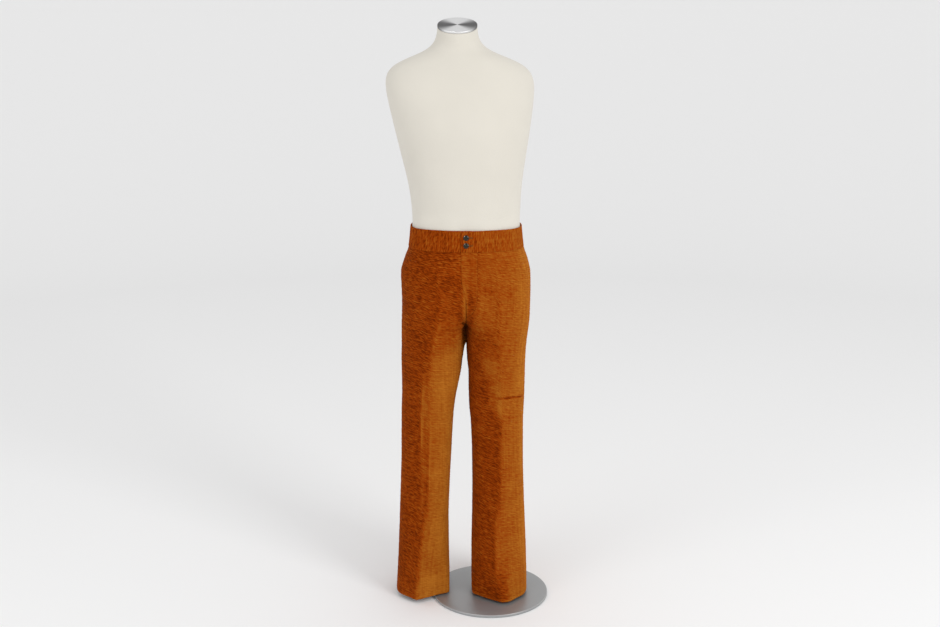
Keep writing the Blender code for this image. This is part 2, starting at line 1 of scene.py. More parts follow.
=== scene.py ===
"""The looks of a pair of corduroy flares on a limbless dress form, laid out as a Blender add-on.

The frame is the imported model, in metres with +Z up. The front of the garment faces -Y and the
wearer's left is at +X. Every cloth piece is a thin closed wall laid over its own solid's outer
sheet, with the wales of the corduroy raised on its outside.
"""

import math
from collections import namedtuple

import bmesh
import bpy
import numpy as np
from bpy.props import FloatProperty, FloatVectorProperty, IntProperty, PointerProperty
from mathutils import Matrix, Vector
from mathutils.bvhtree import BVHTree


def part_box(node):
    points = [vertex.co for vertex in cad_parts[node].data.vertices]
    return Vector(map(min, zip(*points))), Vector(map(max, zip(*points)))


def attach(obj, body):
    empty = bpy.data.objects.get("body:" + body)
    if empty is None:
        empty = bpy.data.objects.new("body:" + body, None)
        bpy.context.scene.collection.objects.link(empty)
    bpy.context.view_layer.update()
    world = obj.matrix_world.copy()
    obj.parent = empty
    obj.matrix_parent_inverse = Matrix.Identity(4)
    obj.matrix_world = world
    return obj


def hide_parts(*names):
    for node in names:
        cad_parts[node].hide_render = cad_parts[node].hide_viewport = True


bl_info = {
    "name": "Corduroy flares",
    "version": (1, 0, 0),
    "blender": (4, 5, 0),
    "location": "View3D > Sidebar > Flares",
    "description": "Builds the looks of corduroy flares on a dress form",
    "category": "Object",
}

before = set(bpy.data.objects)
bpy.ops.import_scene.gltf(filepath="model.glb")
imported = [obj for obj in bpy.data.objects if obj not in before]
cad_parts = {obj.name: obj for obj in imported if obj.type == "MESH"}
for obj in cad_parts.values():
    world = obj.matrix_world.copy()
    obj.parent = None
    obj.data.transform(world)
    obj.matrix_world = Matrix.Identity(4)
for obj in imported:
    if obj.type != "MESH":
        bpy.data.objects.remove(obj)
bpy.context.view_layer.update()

MM = 0.001
BODY = "root"

# Points of a solid that are nearer than this are joined
MERGE = 0.00002

# The rim of a cloth wall turns more sharply than a pressed crease, or than the fly's soft bend
LEG_RIM = math.radians(80)
SOFT_RIM = math.radians(55)

# The seed of the first leg's random draws, and how far on the waistband's and the fly's seeds are
CLOTH_SEED = 7
BAND_SEED = 10
FLY_SEED = 20

# The garment's centre plane runs through its buttons
CENTRE_X = (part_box("button_upper")[0].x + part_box("button_upper")[1].x) / 2

# The ways that the front and the back of the garment face
FRONT = (0, -1, 0)
BACK = (0, 1, 0)


def node_middle(node):
    """The middle of a node's box."""
    low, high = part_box(node)
    return (low + high) / 2


def round_node(node):
    """The radius of an upright round node, and the heights of its foot and its top."""
    low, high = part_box(node)
    return (high.x - low.x) / 2, low.z, high.z


def linear(code):
    """The linear colour of an sRGB hex value."""
    values = [int(code[i : i + 2], 16) / 255 for i in (0, 2, 4)]
    return tuple(
        v / 12.92 if v <= 0.04045 else ((v + 0.055) / 1.055) ** 2.4 for v in values
    )


def length_setting(name, description, default):
    """A length that a user may change."""
    return FloatProperty(
        name=name, description=description, default=default, unit="LENGTH", precision=4
    )


def colour_setting(name, description, code):
    """A colour that a user may change."""
    return FloatVectorProperty(
        name=name, description=description, default=linear(code), subtype="COLOR"
    )


def power_setting(name, description, default):
    """A lamp's power, which a user may change."""
    return FloatProperty(name=name, description=description, default=default, unit="POWER")


def sides_setting(name, description, default):
    """How many sides a round piece has, which a user may change."""
    return IntProperty(name=name, description=description, default=default, min=3)


class ClothSettings(bpy.types.PropertyGroup):
    """The corduroy"""

    wale_narrow: length_setting(
        "Narrowest wale", "Least distance from one wale to the next", 3.4 * MM
    )
    wale_wide: length_setting(
        "Widest wale", "Greatest distance from one wale to the next", 5.6 * MM
    )
    wale_height: length_setting(
        "Wale height", "How far a full wale stands out from the ground weave", 0.75 * MM
    )
    slub_length: length_setting(
        "Slub length", "Length over which a wale swells and thins", 26 * MM
    )
    # Four colours of one cloth, from painted shade to painted golden sheen: deep, which is also the
    # ground between the wales, and rust are painted shade, and tan and gold are painted sheen
    pile_deep_painted_shade: colour_setting(
        "Pile, end on", "Colour between the wales, where the pile is seen end on", "5E1E02"
    )
    pile_rust_painted_shade: colour_setting(
        "Pile, against the nap", "Colour of the wales seen against the nap", "8E3806"
    )
    pile_tan_painted_sheen: colour_setting(
        "Pile, across the nap", "Colour of the wales seen across the nap", "9B5315"
    )
    pile_gold_painted_sheen: colour_setting(
        "Pile, with the nap", "Colour of the wales seen along the nap", "B06B21"
    )


class TrimSettings(bpy.types.PropertyGroup):
    """Thread and buttons"""

    thread: colour_setting("Thread", "Colour of the stitching", "A8641E")
    buttonhole: colour_setting("Buttonhole thread", "Colour of the buttonholes", "7E4E26")
    stitch_length: length_setting(
        "Stitch length", "Distance from one stitch to the next", 3.0 * MM
    )
    button: colour_setting("Button metal", "Colour of the aged nickel", "4A4740")
    button_sides: sides_setting("Button sides", "Sides of the turned button", 64)


class FormSettings(bpy.types.PropertyGroup):
    """The dress form and its stand"""

    jersey: colour_setting("Jersey", "Colour of the form's cover", "D8D3C8")
    steel: colour_setting("Steel", "Colour of the satin steel", "B9B9B9")
    lacquer: colour_setting("Plate lacquer", "Colour of the base plate's satin lacquer", "A1A3A4")
    # The rim's colour is its worn steel and a painted highlight
    worn_edge_and_highlight: colour_setting("Worn edge", "Colour of the base plate's worn rim", "B0B0B0")
    plate_sides: sides_setting("Plate sides", "Sides of the round base plate", 192)
    post_sides: sides_setting("Post sides", "Sides of the post and its sockets", 64)


class StudioSettings(bpy.types.PropertyGroup):
    """The camera, floor and lights"""

    camera_distance: length_setting(
        "Camera distance", "From the camera to the garment's front", 3.179
    )
    camera_height: length_setting("Camera height", "Height of the camera over the floor", 1.557)
    camera_pitch: FloatProperty(
        name="Camera pitch",
        description="How far the camera looks down",
        default=math.radians(13.32),
        subtype="ANGLE",
    )
    camera_lens: FloatProperty(
        name="Lens",
        description="Focal length on a 36 mm wide sensor",
        default=46.95,
        unit="CAMERA",
    )
    paper: colour_setting("Paper", "Colour of the floor and the backdrop", "F5F5F5")
    key_power: power_setting("Key light", "Power of the soft light at the right", 90)
    fill_power: power_setting("Fill light", "Power of the soft light at the left", 32)
    spark_power: power_setting(
        "Catch light", "Power of the small lamp that the buttons mirror", 22
    )
    air: FloatProperty(
        name="Room light",
        description="Strength of the even light from all round",
        default=0.79,
    )


# Materials


def fill_inputs(tree, node, inputs):
    """Gives a node's inputs their values, or links them to other nodes."""
    for key, value in inputs.items():
        if isinstance(value, bpy.types.NodeSocket):
            tree.links.new(value, node.inputs[key])
        else:
            node.inputs[key].default_value = value


def add_node(tree, kind, inputs=None, **settings):
    """Adds a shader node with its settings and links."""
    made = tree.nodes.new("ShaderNode" + kind)
    for name, value in settings.items():
        setattr(made, name, value)
    fill_inputs(tree, made, inputs or {})
    return made


def start_material(name):
    """A new material, its node tree and its Principled shader."""
    material = bpy.data.materials.new(name)
    material.use_nodes = True
    return material, material.node_tree, material.node_tree.nodes["Principled BSDF"]


def rgba(colour, share=1.0):
    """A colour, or a darker share of it, as a node takes it."""
    return (*(c * share for c in colour), 1)


# The tone of the pile, from 0 in the grooves to 1 with the nap, which carries its painted shade and
# sheen: its level with no nap, what a full nap adds, and where the two middle ones of the four
# colours stand
TONE_LEVEL = 0.2
TONE_BY_NAP = 0.62
TONE_STOPS = (0.32, 0.64)

# Patches that vary the tone: their width and height in metres, their turn in degrees, their noise,
# how much they count with no nap, and how much more with a full one
Patches = namedtuple("Patches", "width height turn detail roughness amount by_nap")
PATCHES = (
    # Chenille tufts lean over in clumps 13 mm long, which show most on dark faces
    Patches(0.013, 0.0031, 14, 1.5, 0.6, 1.0, -0.38),
    # Slubs of the yarn run on for 20 mm
    Patches(0.020, 0.0030, 0, 1.0, 0.5, 0.35, -0.133),
    # Pressing leaves upright streaks 6 mm wide
    Patches(0.006, 0.13, 0, 3.0, 0.6, 0.1, 0.5),
    # Hands brush clouds 70 mm across
    Patches(0.07, 0.05, 0, 2.0, 0.5, 0.28, 0.0),
)
NOISE_MIDDLE = 0.5

# How much the height of the pile counts beside them, darker in the grooves for the bare ground and
# for painted shade there: its middle, and its amounts as for a patch
PILE_MIDDLE = 0.55
PILE_AMOUNT = 0.28
PILE_BY_NAP = -0.1


def corduroy():
    """Cut cotton chenille corduroy: matt rounded wales with a nap.

    The sheen and shade of the pile are painted: the colour follows the nap kept in each vertex,
    painted dark where the pile is seen end on and painted golden where it lies away, and the ground
    between the wales is painted deep, for its own weave and for the shade there.
    """
    cloth = bpy.context.scene.flares_cloth
    material, tree, shader = start_material("cut_pile_corduroy")
    # The nap attribute carries painted sheen and shade, by the way that each face turns
    nap = add_node(tree, "Attribute", attribute_name="nap").outputs["Fac"]
    pile = add_node(tree, "Attribute", attribute_name="pile").outputs["Fac"]
    uv = add_node(tree, "UVMap", uv_map="cloth").outputs["UV"]
    layers = []
    for patch in PATCHES:
        turn = (0, 0, math.radians(patch.turn))
        turned = add_node(tree, "Mapping", {"Vector": uv, "Rotation": turn}).outputs[0]
        scale = (1 / patch.width, 1 / patch.height, 1)
        sized = add_node(tree, "Mapping", {"Vector": turned, "Scale": scale}).outputs[0]
        noise = add_node(
            tree,
            "TexNoise",
            {"Vector": sized, "Scale": 1.0, "Detail": patch.detail, "Roughness": patch.roughness},
            noise_dimensions="2D",
        ).outputs["Fac"]
        layers.append((noise, NOISE_MIDDLE, patch.amount, patch.by_nap))
    # Painted shade in the grooves between the wales, with the bare ground there
    layers.append((pile, PILE_MIDDLE, PILE_AMOUNT, PILE_BY_NAP))
    inputs = {0: nap, 1: TONE_BY_NAP, 2: TONE_LEVEL}
    tone = add_node(tree, "Math", inputs, operation="MULTIPLY_ADD").outputs[0]
    for value, middle, amount, by_nap in layers:
        weight = add_node(tree, "Math", {0: nap, 1: by_nap, 2: amount}, operation="MULTIPLY_ADD")
        varied = add_node(tree, "Math", {0: value, 1: middle}, operation="SUBTRACT")
        inputs = {0: varied.outputs[0], 1: weight.outputs[0], 2: tone}
        tone = add_node(tree, "Math", inputs, operation="MULTIPLY_ADD").outputs[0]
    # The ramp runs from painted shade to painted golden sheen
    ramp = add_node(tree, "ValToRGB", {"Fac": tone})
    elements = ramp.color_ramp.elements
    for place in TONE_STOPS:
        elements.new(place)
    colours = (cloth.pile_deep_painted_shade, cloth.pile_rust_painted_shade, cloth.pile_tan_painted_sheen, cloth.pile_gold_painted_sheen)
    for element, colour in zip(elements, colours):
        element.color = rgba(colour)
    # Tufts of pile, drawn 0.9 mm apart because finer ones would not show
    tufts = add_node(
        tree,
        "TexNoise",
        {"Vector": uv, "Scale": 1 / 0.0009, "Detail": 2.0, "Roughness": 0.7},
        noise_dimensions="2D",
    ).outputs["Fac"]
    bump = add_node(tree, "Bump", {"Height": tufts, "Strength": 0.6, "Distance": 0.0008})
    finish = {
        "Base Color": ramp.outputs["Color"],
        "Normal": bump.outputs["Normal"],
        "Roughness": 0.95,
        "Specular IOR Level": 0.06,
        "Specular Tint": rgba(linear("FF9A30")),
        "Sheen Weight": 0.12,
        "Sheen Roughness": 0.55,
        "Sheen Tint": rgba(linear("FFA038")),
    }
    fill_inputs(tree, shader, finish)
    return material


def sewing_thread(name, colour):
    """Cotton sewing thread: two plies twisted together, with a slight gloss."""
    material, tree, shader = start_material(name)
    place = add_node(tree, "TexCoord").outputs["Object"]
    # A ply comes round every 2.2 mm along the thread, coarser than a real one so that it shows, and
    # the grooves between the plies are painted darker as shade
    plies = add_node(
        tree,
        "TexWave",
        {"Vector": place, "Scale": 1 / 0.0035, "Distortion": 1.0},
        wave_type="BANDS",
        bands_direction="DIAGONAL",
    ).outputs["Fac"]
    inputs = {"Fac": plies, "Color1": rgba(colour, 0.6), "Color2": rgba(colour)}
    finish = {
        "Base Color": add_node(tree, "MixRGB", inputs).outputs["Color"],
        "Roughness": 0.8,
        "Specular IOR Level": 0.15,
        "Specular Tint": rgba(linear("FFB060")),
    }
    fill_inputs(tree, shader, finish)
    return material


def aged_nickel():
    """Nickel plate on a pressed button, mottled with dark, rougher specks of tarnish."""
    metal = bpy.context.scene.flares_trim.button
    material, tree, shader = start_material("aged_nickel_plate")
    place = add_node(tree, "TexCoord").outputs["Object"]
    # Specks of tarnish 1.5 mm across
    inputs = {"Vector": place, "Scale": 1 / 0.0015, "Detail": 4.0, "Roughness": 0.6}
    specks = add_node(tree, "TexNoise", inputs).outputs["Fac"]
    inputs = {"Fac": specks, "Color1": rgba(metal, 0.3), "Color2": rgba(metal)}
    colour = add_node(tree, "MixRGB", inputs)
    rough = add_node(tree, "MapRange", {"Value": specks, "To Min": 0.24, "To Max": 0.14})
    finish = {
        "Base Color": colour.outputs["Color"],
        "Roughness": rough.outputs["Result"],
        "Metallic": 1.0,
    }
    fill_inputs(tree, shader, finish)
    return material


def cotton_jersey():
    """Unbleached cotton jersey stretched over the form: a fine vertical knit, soft and matt."""
    cover = bpy.context.scene.flares_form.jersey
    material, tree, shader = start_material("stretched_cotton_jersey")
    place = add_node(tree, "TexCoord").outputs["Object"]
    # Knit columns 1.6 mm apart, coarser than real ones so that they show
    tall = add_node(tree, "Mapping", {"Vector": place, "Scale": (1, 1, 0.55)}).outputs[0]
    inputs = {"Vector": tall, "Scale": 1 / 0.0016}
    knit = add_node(tree, "TexVoronoi", inputs, feature="F1").outputs["Distance"]
    inputs = {"Height": knit, "Strength": 0.35, "Distance": 0.0004}
    bump = add_node(tree, "Bump", inputs, invert=True)
    # The cloth is a little darker in clouds 120 mm across
    inputs = {"Vector": place, "Scale": 1 / 0.12, "Detail": 4.0}
    cloud = add_node(tree, "TexNoise", inputs).outputs["Fac"]
    inputs = {"Fac": cloud, "Color1": rgba(cover, 0.9), "Color2": rgba(cover)}
    finish = {
        "Base Color": add_node(tree, "MixRGB", inputs).outputs["Color"],
        "Normal": bump.outputs["Normal"],
        "Roughness": 0.85,
        "Sheen Weight": 0.15,
    }
    fill_inputs(tree, shader, finish)
    return material


def plan_from(tree, middle, stretch=1.0):
    """Places in plan, measured from an upright axis and stretched from front to back."""
    place = add_node(tree, "TexCoord").outputs["Object"]
    shift = (-middle.x, -middle.y * stretch, 0)
    inputs = {"Vector": place, "Location": shift, "Scale": (1, stretch, 0)}
    return add_node(tree, "Mapping", inputs).outputs[0]


def tool_marks(tree, plan, pitch):
    """The distance from an axis, and noise in rings round it, as the marks of a turning tool."""
    radius = add_node(tree, "VectorMath", {0: plan}, operation="LENGTH").outputs["Value"]
    inputs = {"W": radius, "Scale": 1 / pitch, "Detail": 4.0, "Roughness": 0.7}
    marks = add_node(tree, "TexNoise", inputs, noise_dimensions="1D")
    return radius, marks.outputs["Fac"]


def satin_steel():
    """Steel blasted and lacquered: an even satin grey that blurs what it mirrors."""
    material, tree, shader = start_material("satin_lacquered_steel")
    place = add_node(tree, "TexCoord").outputs["Object"]
    # Blasting grit leaves pits about 0.6 mm apart
    inputs = {"Vector": place, "Scale": 1 / 0.0006, "Detail": 2.0, "Roughness": 0.6}
    grit = add_node(tree, "TexNoise", inputs).outputs["Fac"]
    bump = add_node(tree, "Bump", {"Height": grit, "Strength": 0.15, "Distance": 0.0002})
    # Handling leaves soft clouds 80 mm across
    inputs = {"Vector": place, "Scale": 1 / 0.08, "Detail": 3.0}
    cloud = add_node(tree, "TexNoise", inputs).outputs["Fac"]
    rough = add_node(tree, "MapRange", {"Value": cloud, "To Min": 0.56, "To Max": 0.64})
    finish = {
        "Base Color": rgba(bpy.context.scene.flares_form.steel),
        "Normal": bump.outputs["Normal"],
        "Roughness": rough.outputs["Result"],
        "Metallic": 1.0,
    }
    fill_inputs(tree, shader, finish)
    return material


# The plate's lacquer starts to wear, and the painted highlight on its rim to show, this far in from
# its rim and down from its top, and nearer than the second it is gone
WEAR_AND_HIGHLIGHT_STARTS = 1.3 * MM
WEAR_AND_HIGHLIGHT_FULL = 0.9 * MM


def lacquered_plate():
    """Steel plate under grey satin lacquer that has worn bright on the turned edge, where a
    highlight is painted too.
    """
    form = bpy.context.scene.flares_form
    material, tree, shader = start_material("grey_lacquered_plate")
    # Brushing left rings a millimetre apart, and handling leaves soft clouds 80 mm across
    plan = plan_from(tree, node_middle("base_plate"))
    radius, rings = tool_marks(tree, plan, 0.001)
    place = add_node(tree, "TexCoord").outputs["Object"]
    inputs = {"Vector": place, "Scale": 1 / 0.08, "Detail": 3.0}
    cloud = add_node(tree, "TexNoise", inputs).outputs["Fac"]
    height = add_node(tree, "SeparateXYZ", {0: place}).outputs["Z"]
    rim, _, top = round_node("base_plate")
    near = []
    for value, end in ((radius, rim), (height, top)):
        inputs = {"Value": value, "From Min": end - WEAR_AND_HIGHLIGHT_STARTS, "From Max": end - WEAR_AND_HIGHLIGHT_FULL}
        near.append(add_node(tree, "MapRange", inputs, interpolation_type="SMOOTHSTEP").outputs[0])
    # Where the rim is worn, and painted bright as a highlight
    worn = add_node(tree, "Math", {0: near[0], 1: near[1]}, operation="MULTIPLY").outputs[0]
    shade = add_node(tree, "Math", {0: rings, 1: 0.10, 2: 0.91}, operation="MULTIPLY_ADD")
    inputs = {0: cloud, 1: 0.08, 2: shade.outputs[0]}
    shade = add_node(tree, "Math", inputs, operation="MULTIPLY_ADD").outputs[0]
    inputs = {0: list(form.lacquer), "Scale": shade}
    lacquer = add_node(tree, "VectorMath", inputs, operation="SCALE").outputs["Vector"]
    inputs = {"Fac": worn, "Color1": lacquer, "Color2": rgba(form.worn_edge_and_highlight)}
    colour = add_node(tree, "MixRGB", inputs)
    rough = add_node(tree, "MapRange", {"Value": worn, "To Min": 0.4, "To Max": 0.3})
    finish = {
        "Base Color": colour.outputs["Color"],
        "Roughness": rough.outputs["Result"],
        "Metallic": 0.55,
    }
    fill_inputs(tree, shader, finish)
    return material


# The neck's cap is an oval plate
CAP_HALF_WIDTH = 51 * MM
CAP_HALF_DEPTH = 57 * MM


def spun_aluminium():
    """Aluminium spun on a lathe, whose sheen, parted into light and dark fans by rings too fine to
    see, is a painted reflection in its colour.
    """
    material, tree, shader = start_material("spun_aluminium")
    middle = node_middle("neck_cap")
    oval = plan_from(tree, middle, CAP_HALF_WIDTH / CAP_HALF_DEPTH)
    lines = tool_marks(tree, oval, 0.0012)[1]
    plan = plan_from(tree, middle)
    way = add_node(tree, "VectorMath", {0: plan}, operation="NORMALIZE").outputs["Vector"]
    sideways = add_node(tree, "SeparateXYZ", {0: way}).outputs["X"]
    squared = add_node(tree, "Math", {0: sideways, 1: sideways}, operation="MULTIPLY").outputs[0]
    # Painted reflection: the fans to the sides are painted dark, those to the front and back light
    inputs = {"Value": squared, "From Min": 0.2, "From Max": 1.0, "To Min": 0.8, "To Max": 0.12}
    fans = add_node(tree, "MapRange", inputs, interpolation_type="SMOOTHSTEP").outputs["Result"]
    rings = add_node(tree, "Math", {0: lines, 1: 0.5, 2: 0.75}, operation="MULTIPLY_ADD")
    inputs = {0: fans, 1: rings.outputs[0]}
    finish = {
        "Base Color": add_node(tree, "Math", inputs, operation="MULTIPLY").outputs[0],
        "Metallic": 1.0,
        "Roughness": 0.34,
        "Anisotropic": 0.85,
    }
    fill_inputs(tree, shader, finish)
    return material


def studio_paper():
    """Seamless background paper: pale, even and matt."""
    material, tree, shader = start_material("seamless_paper")
    finish = {
        "Base Color": rgba(bpy.context.scene.flares_studio.paper),
        "Roughness": 0.9,
        "Specular IOR Level": 0.1,
    }
    fill_inputs(tree, shader, finish)
    return material


MADE = {}


def get_material(maker, *values):
    """A material that is made once and then used again."""
    key = (maker.__name__, *values)
    if key not in MADE:
        MADE[key] = maker(*values)
    return MADE[key]


def add_object(name, data):
    """A new object in the scene."""
    made = bpy.data.objects.new(name, data)
    bpy.context.scene.collection.objects.link(made)
    return made


def finish_piece(piece, material, slot, *nodes):
    """Gives a piece its material and its body, and hides the nodes that it stands for. Its slot is
    not used.
    """
    piece.data.materials.clear()
    piece.data.materials.append(material)
    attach(piece, BODY)
    if nodes:
        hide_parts(*nodes)
    return piece


# The outer sheet of a cloth wall

# A face looks along a direction if it turns from it by less than 60 degrees
LOOKS_ALONG = 0.5


def face_sheet(work, facing, rim):
    """The faces of one side of a closed wall, from the one that lies farthest along facing."""
    seed = max(
        (face for face in work.faces if face.normal.dot(facing) > LOOKS_ALONG),
        key=lambda face: face.calc_center_median().dot(facing),
    )
    found = {seed}
    waiting = [seed]
    while waiting:
        face = waiting.pop()
        for edge in face.edges:
            for other in edge.link_faces:
                if other not in found and face.normal.angle(other.normal) < rim:
                    found.add(other)
                    waiting.append(other)
    return found


def boundary_loop(sheet):
    """The vertices round the edge of a sheet of faces, in order."""
    beside = {}
    for face in sheet:
        for edge in face.edges:
            if sum(other in sheet for other in edge.link_faces) == 1:
                first, second = edge.verts
                beside.setdefault(first, []).append(second)
                beside.setdefault(second, []).append(first)
    start = min(beside, key=lambda vert: vert.index)
    loop = [start, beside[start][0]]
    while True:
        ahead = [vert for vert in beside[loop[-1]] if vert is not loop[-2]][0]
        if ahead is start:
            return loop
        loop.append(ahead)


# The corners of a sheet's lowest edge lie within this height
LOW_BAND = 2 * MM


def sheet_grid(node, facing, first, rim):
    """A node's outer sheet as rows of points from its lowest edge up.

    The first column is at the end of the lowest row that lies farther along first. Returns the
    points, and whether the winding of rows and columns has to be turned to face outwards.
    """
    work = bmesh.new()
    work.from_mesh(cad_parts[node].data)
    bmesh.ops.remove_doubles(work, verts=work.verts, dist=MERGE)
    work.faces.ensure_lookup_table()
    work.verts.index_update()
    sheet = face_sheet(work, Vector(facing), rim)
    loop = boundary_loop(sheet)
    lowest = min(vert.co.z for vert in loop)
    low = [vert.co.z < lowest + LOW_BAND for vert in loop]
    turn = next(i for i in range(len(loop)) if low[i] and not low[i - 1])
    loop = loop[turn:] + loop[:turn]
    columns = sum(low)
    if (loop[columns - 1].co - loop[0].co).dot(Vector(first)) > 0:
        loop = loop[columns - 1 :: -1] + loop[: columns - 1 : -1]
    rows = len(loop) // 2 - columns + 2
    grid = [loop[:columns]]
    used = set(grid[0])
    for i in range(1, rows):
        row = [loop[-i]]
        used.add(row[0])
        for j in range(1, columns):
            near = {edge.other_vert(row[-1]) for edge in row[-1].link_edges}
            over = {edge.other_vert(grid[-1][j]) for edge in grid[-1][j].link_edges}
            (found,) = [
                vert
                for vert in near & over
                if vert not in used and any(face in sheet for face in vert.link_faces)
            ]
            row.append(found)
            used.add(found)
        grid.append(row)
    points = np.array([[tuple(vert.co) for vert in row] for row in grid])
    middle = grid[rows // 2][columns // 2]
    faces = [face.normal for face in middle.link_faces if face in sheet]
    outward = np.array(sum(faces, Vector()).normalized())
    made = cross_normals(points)[rows // 2, columns // 2]
    work.free()
    return points, bool(made @ outward < 0)


def cross_normals(points):
    """Unit normals of a grid of points, from its rows and columns."""
    along = np.gradient(points, axis=1)
    up = np.gradient(points, axis=0)
    normal = np.cross(along, up)
    return normal / np.linalg.norm(normal, axis=-1, keepdims=True)


def hermite(points, knots, at):
    """A smooth curve through points at their knots, read at other places along axis 0."""
    points = np.asarray(points, float)
    wide = (slice(None),) + (None,) * (points.ndim - 1)
    gaps = np.diff(knots)
    slopes = np.diff(points, axis=0) / gaps[wide]
    tangents = np.empty_like(points)
    before, after = gaps[:-1][wide], gaps[1:][wide]
    tangents[1:-1] = (slopes[:-1] * after + slopes[1:] * before) / (before + after)
    tangents[0] = 1.5 * slopes[0] - 0.5 * tangents[1]
    tangents[-1] = 1.5 * slopes[-1] - 0.5 * tangents[-2]
    index = np.clip(np.searchsorted(knots, at) - 1, 0, len(gaps) - 1)
    span = gaps[index][wide]
    t = ((at - np.asarray(knots)[index]) / gaps[index])[wide]
    return (
        points[index] * (2 * t**3 - 3 * t**2 + 1)
        + points[index + 1] * (3 * t**2 - 2 * t**3)
        + tangents[index] * span * (t**3 - 2 * t**2 + t)
        + tangents[index + 1] * span * (t**3 - t**2)
    )


def smooth_step(value):
    """Eases a value from 0 up to 1, level at both ends."""
    value = np.clip(value, 0.0, 1.0)
    return value * value * (3 - 2 * value)


# Cutting the cloth: where its rows and columns of points lie

# Places close beside a seam or a crease, as shares of a half panel, and the steps between them
EDGE_SHARES = (0.0, 0.010, 0.026, 0.055)
HALF_STEPS = 10

# A row of the solid that is nearer than this to the one before it is left out
CLOSE_ROWS = 3 * MM

# How many places are read up a column for each of its solid's rows
DENSE = 12

# One wale from one groove to the next: how far along it, and how high it stands there
WALE = ((0.0, 0.0), (0.20, 0.74), (0.5, 1.0), (0.80, 0.74))


def half_shares(*extra):
    """Places across half a panel, close together beside the seam and the crease."""
    middle = np.linspace(EDGE_SHARES[-1], 1 - EDGE_SHARES[-1], HALF_STEPS + 1)
    edge = np.array(EDGE_SHARES[:-1])
    return np.unique(np.concatenate([edge, middle, 1 - edge, extra]))


def spread_columns(points, bends, shares):
    """Reads each row of a grid at finer places. It may turn sharply at the bend columns."""
    parts = []
    for low, high, places in zip(bends, bends[1:], shares):
        piece = points[:, low : high + 1].swapaxes(0, 1)
        knots = np.arange(high - low + 1, dtype=float)
        read = hermite(piece, knots, places * (high - low)).swapaxes(0, 1)
        parts.append(read if not parts else read[:, 1:])
    return np.concatenate(parts, axis=1)


def wale_levels(low, high, rng):
    """Levels of the rows of points, four to a wale, with each row's wale and its height there."""
    cloth = bpy.context.scene.flares_cloth
    pitches = []
    while sum(pitches) < high - low:
        pitches.append(rng.uniform(cloth.wale_narrow, cloth.wale_wide))
    pitches = np.array(pitches) * (high - low) / sum(pitches)
    starts = low + np.concatenate([[0], np.cumsum(pitches)[:-1]])
    levels, wales, heights = [], [], []
    for k, (start, pitch) in enumerate(zip(starts, pitches)):
        for share, height in WALE:
            levels.append(start + pitch * share)
            wales.append(k)
            heights.append(height)
    levels.append(high)
    wales.append(len(pitches) - 1)
    heights.append(0.0)
    return np.array(levels), np.array(wales), np.array(heights)


# Where the pressed hem stands out from the solid's, or in: node, place in plan, shift and reach
HEM_SHAPES = [
    ("front_left", (0.077, -0.079), (-0.0080, 0.0075), 0.030),
    ("front_left", (-0.045, -0.031), (-0.0040, -0.0090), 0.017),
    ("front_right", (-0.124, -0.023), (0.0085, -0.0070), 0.017),
    ("back_right", (-0.246, 0.082), (-0.0050, 0.0050), 0.017),
    ("back_left", (0.086, 0.092), (0.0050, 0.0050), 0.018),
]
HEM_SHAPE_TOP = 0.15


def shape_hem(node, points):
    """Presses the corners of a hem, which fade out up the leg."""
    shaped = points.copy()
    low = 1 - smooth_step(points[..., 2] / HEM_SHAPE_TOP)
    for name, place, shift, reach in HEM_SHAPES:
        if name == node:
            far = np.linalg.norm(points[..., :2] - np.array(place), axis=-1) / reach
            shaped[..., :2] += (low * np.exp(-(far**2)))[..., None] * np.array(shift)
    return shaped


# A panel's rows of points: their levels, wales and heights on the wale, and the places across them
Rows = namedtuple("Rows", "levels wales heights spots width")


def yarn_noise(rows, length, rng):
    """Smooth noise from 0 to 1 along each wale, changing over the given length."""
    count = max(3, int(math.ceil(rows.width / length)) + 2)
    values = rng.random((rows.wales.max() + 1, count))
    at = rows.spots / rows.width * (count - 1)
    curve = hermite(values.T, np.arange(count, dtype=float), np.clip(at, 0, count - 1))
    return np.clip(curve.T[rows.wales], 0, 1)


# A soft ridge on a leg panel, in metres: its height and its share across the panel from its side
# seam, how much it adds (or takes, below 0), its half length and half width, and the angle that it
# turns up from level
Ridge = namedtuple("Ridge", "height along amount half_length half_width tilt")

# Soft creases of the hanging cloth over those of the solids: how far out they go
CREASES = {
    "front_left": (
        Ridge(0.5885, 0.45, -0.9 * MM, 0.004, 0.0020, 0),
        Ridge(0.5880, 0.37, -1.4 * MM, 0.009, 0.0020, 4),
        Ridge(0.5865, 0.27, -1.5 * MM, 0.014, 0.0022, 6),
        Ridge(0.5840, 0.17, -0.6 * MM, 0.010, 0.0020, 10),
        Ridge(0.655, 0.50, 1.6 * MM, 0.070, 0.014, 76),
        Ridge(0.700, 0.66, -1.4 * MM, 0.045, 0.010, 60),
    ),
    "front_right": (
        Ridge(0.545, 0.40, 0.9 * MM, 0.120, 0.0045, 90),
        Ridge(0.770, 0.52, 0.9 * MM, 0.050, 0.0050, 84),
        Ridge(0.700, 0.80, -1.2 * MM, 0.050, 0.010, -58),
        Ridge(0.835, 0.985, 2.4 * MM, 0.045, 0.0085, 90),
    ),
    "back_left": (
        Ridge(0.735, 0.70, -2.2 * MM, 0.060, 0.010, 38),
        Ridge(0.690, 0.52, -1.6 * MM, 0.055, 0.009, 30),
        Ridge(0.560, 0.30, -1.5 * MM, 0.030, 0.006, 8),
        Ridge(0.535, 0.68, -1.8 * MM, 0.036, 0.007, -10),
        Ridge(0.860, 0.40, 1.2 * MM, 0.060, 0.014, 70),
    ),
    "back_right": (
        Ridge(0.740, 0.72, -2.0 * MM, 0.055, 0.010, 34),
        Ridge(0.680, 0.58, -1.5 * MM, 0.050, 0.009, 24),
        Ridge(0.548, 0.34, -1.7 * MM, 0.034, 0.007, -6),
        Ridge(0.575, 0.70, -1.4 * MM, 0.028, 0.006, 12),
        Ridge(0.850, 0.44, 1.3 * MM, 0.055, 0.013, 74),
    ),
}
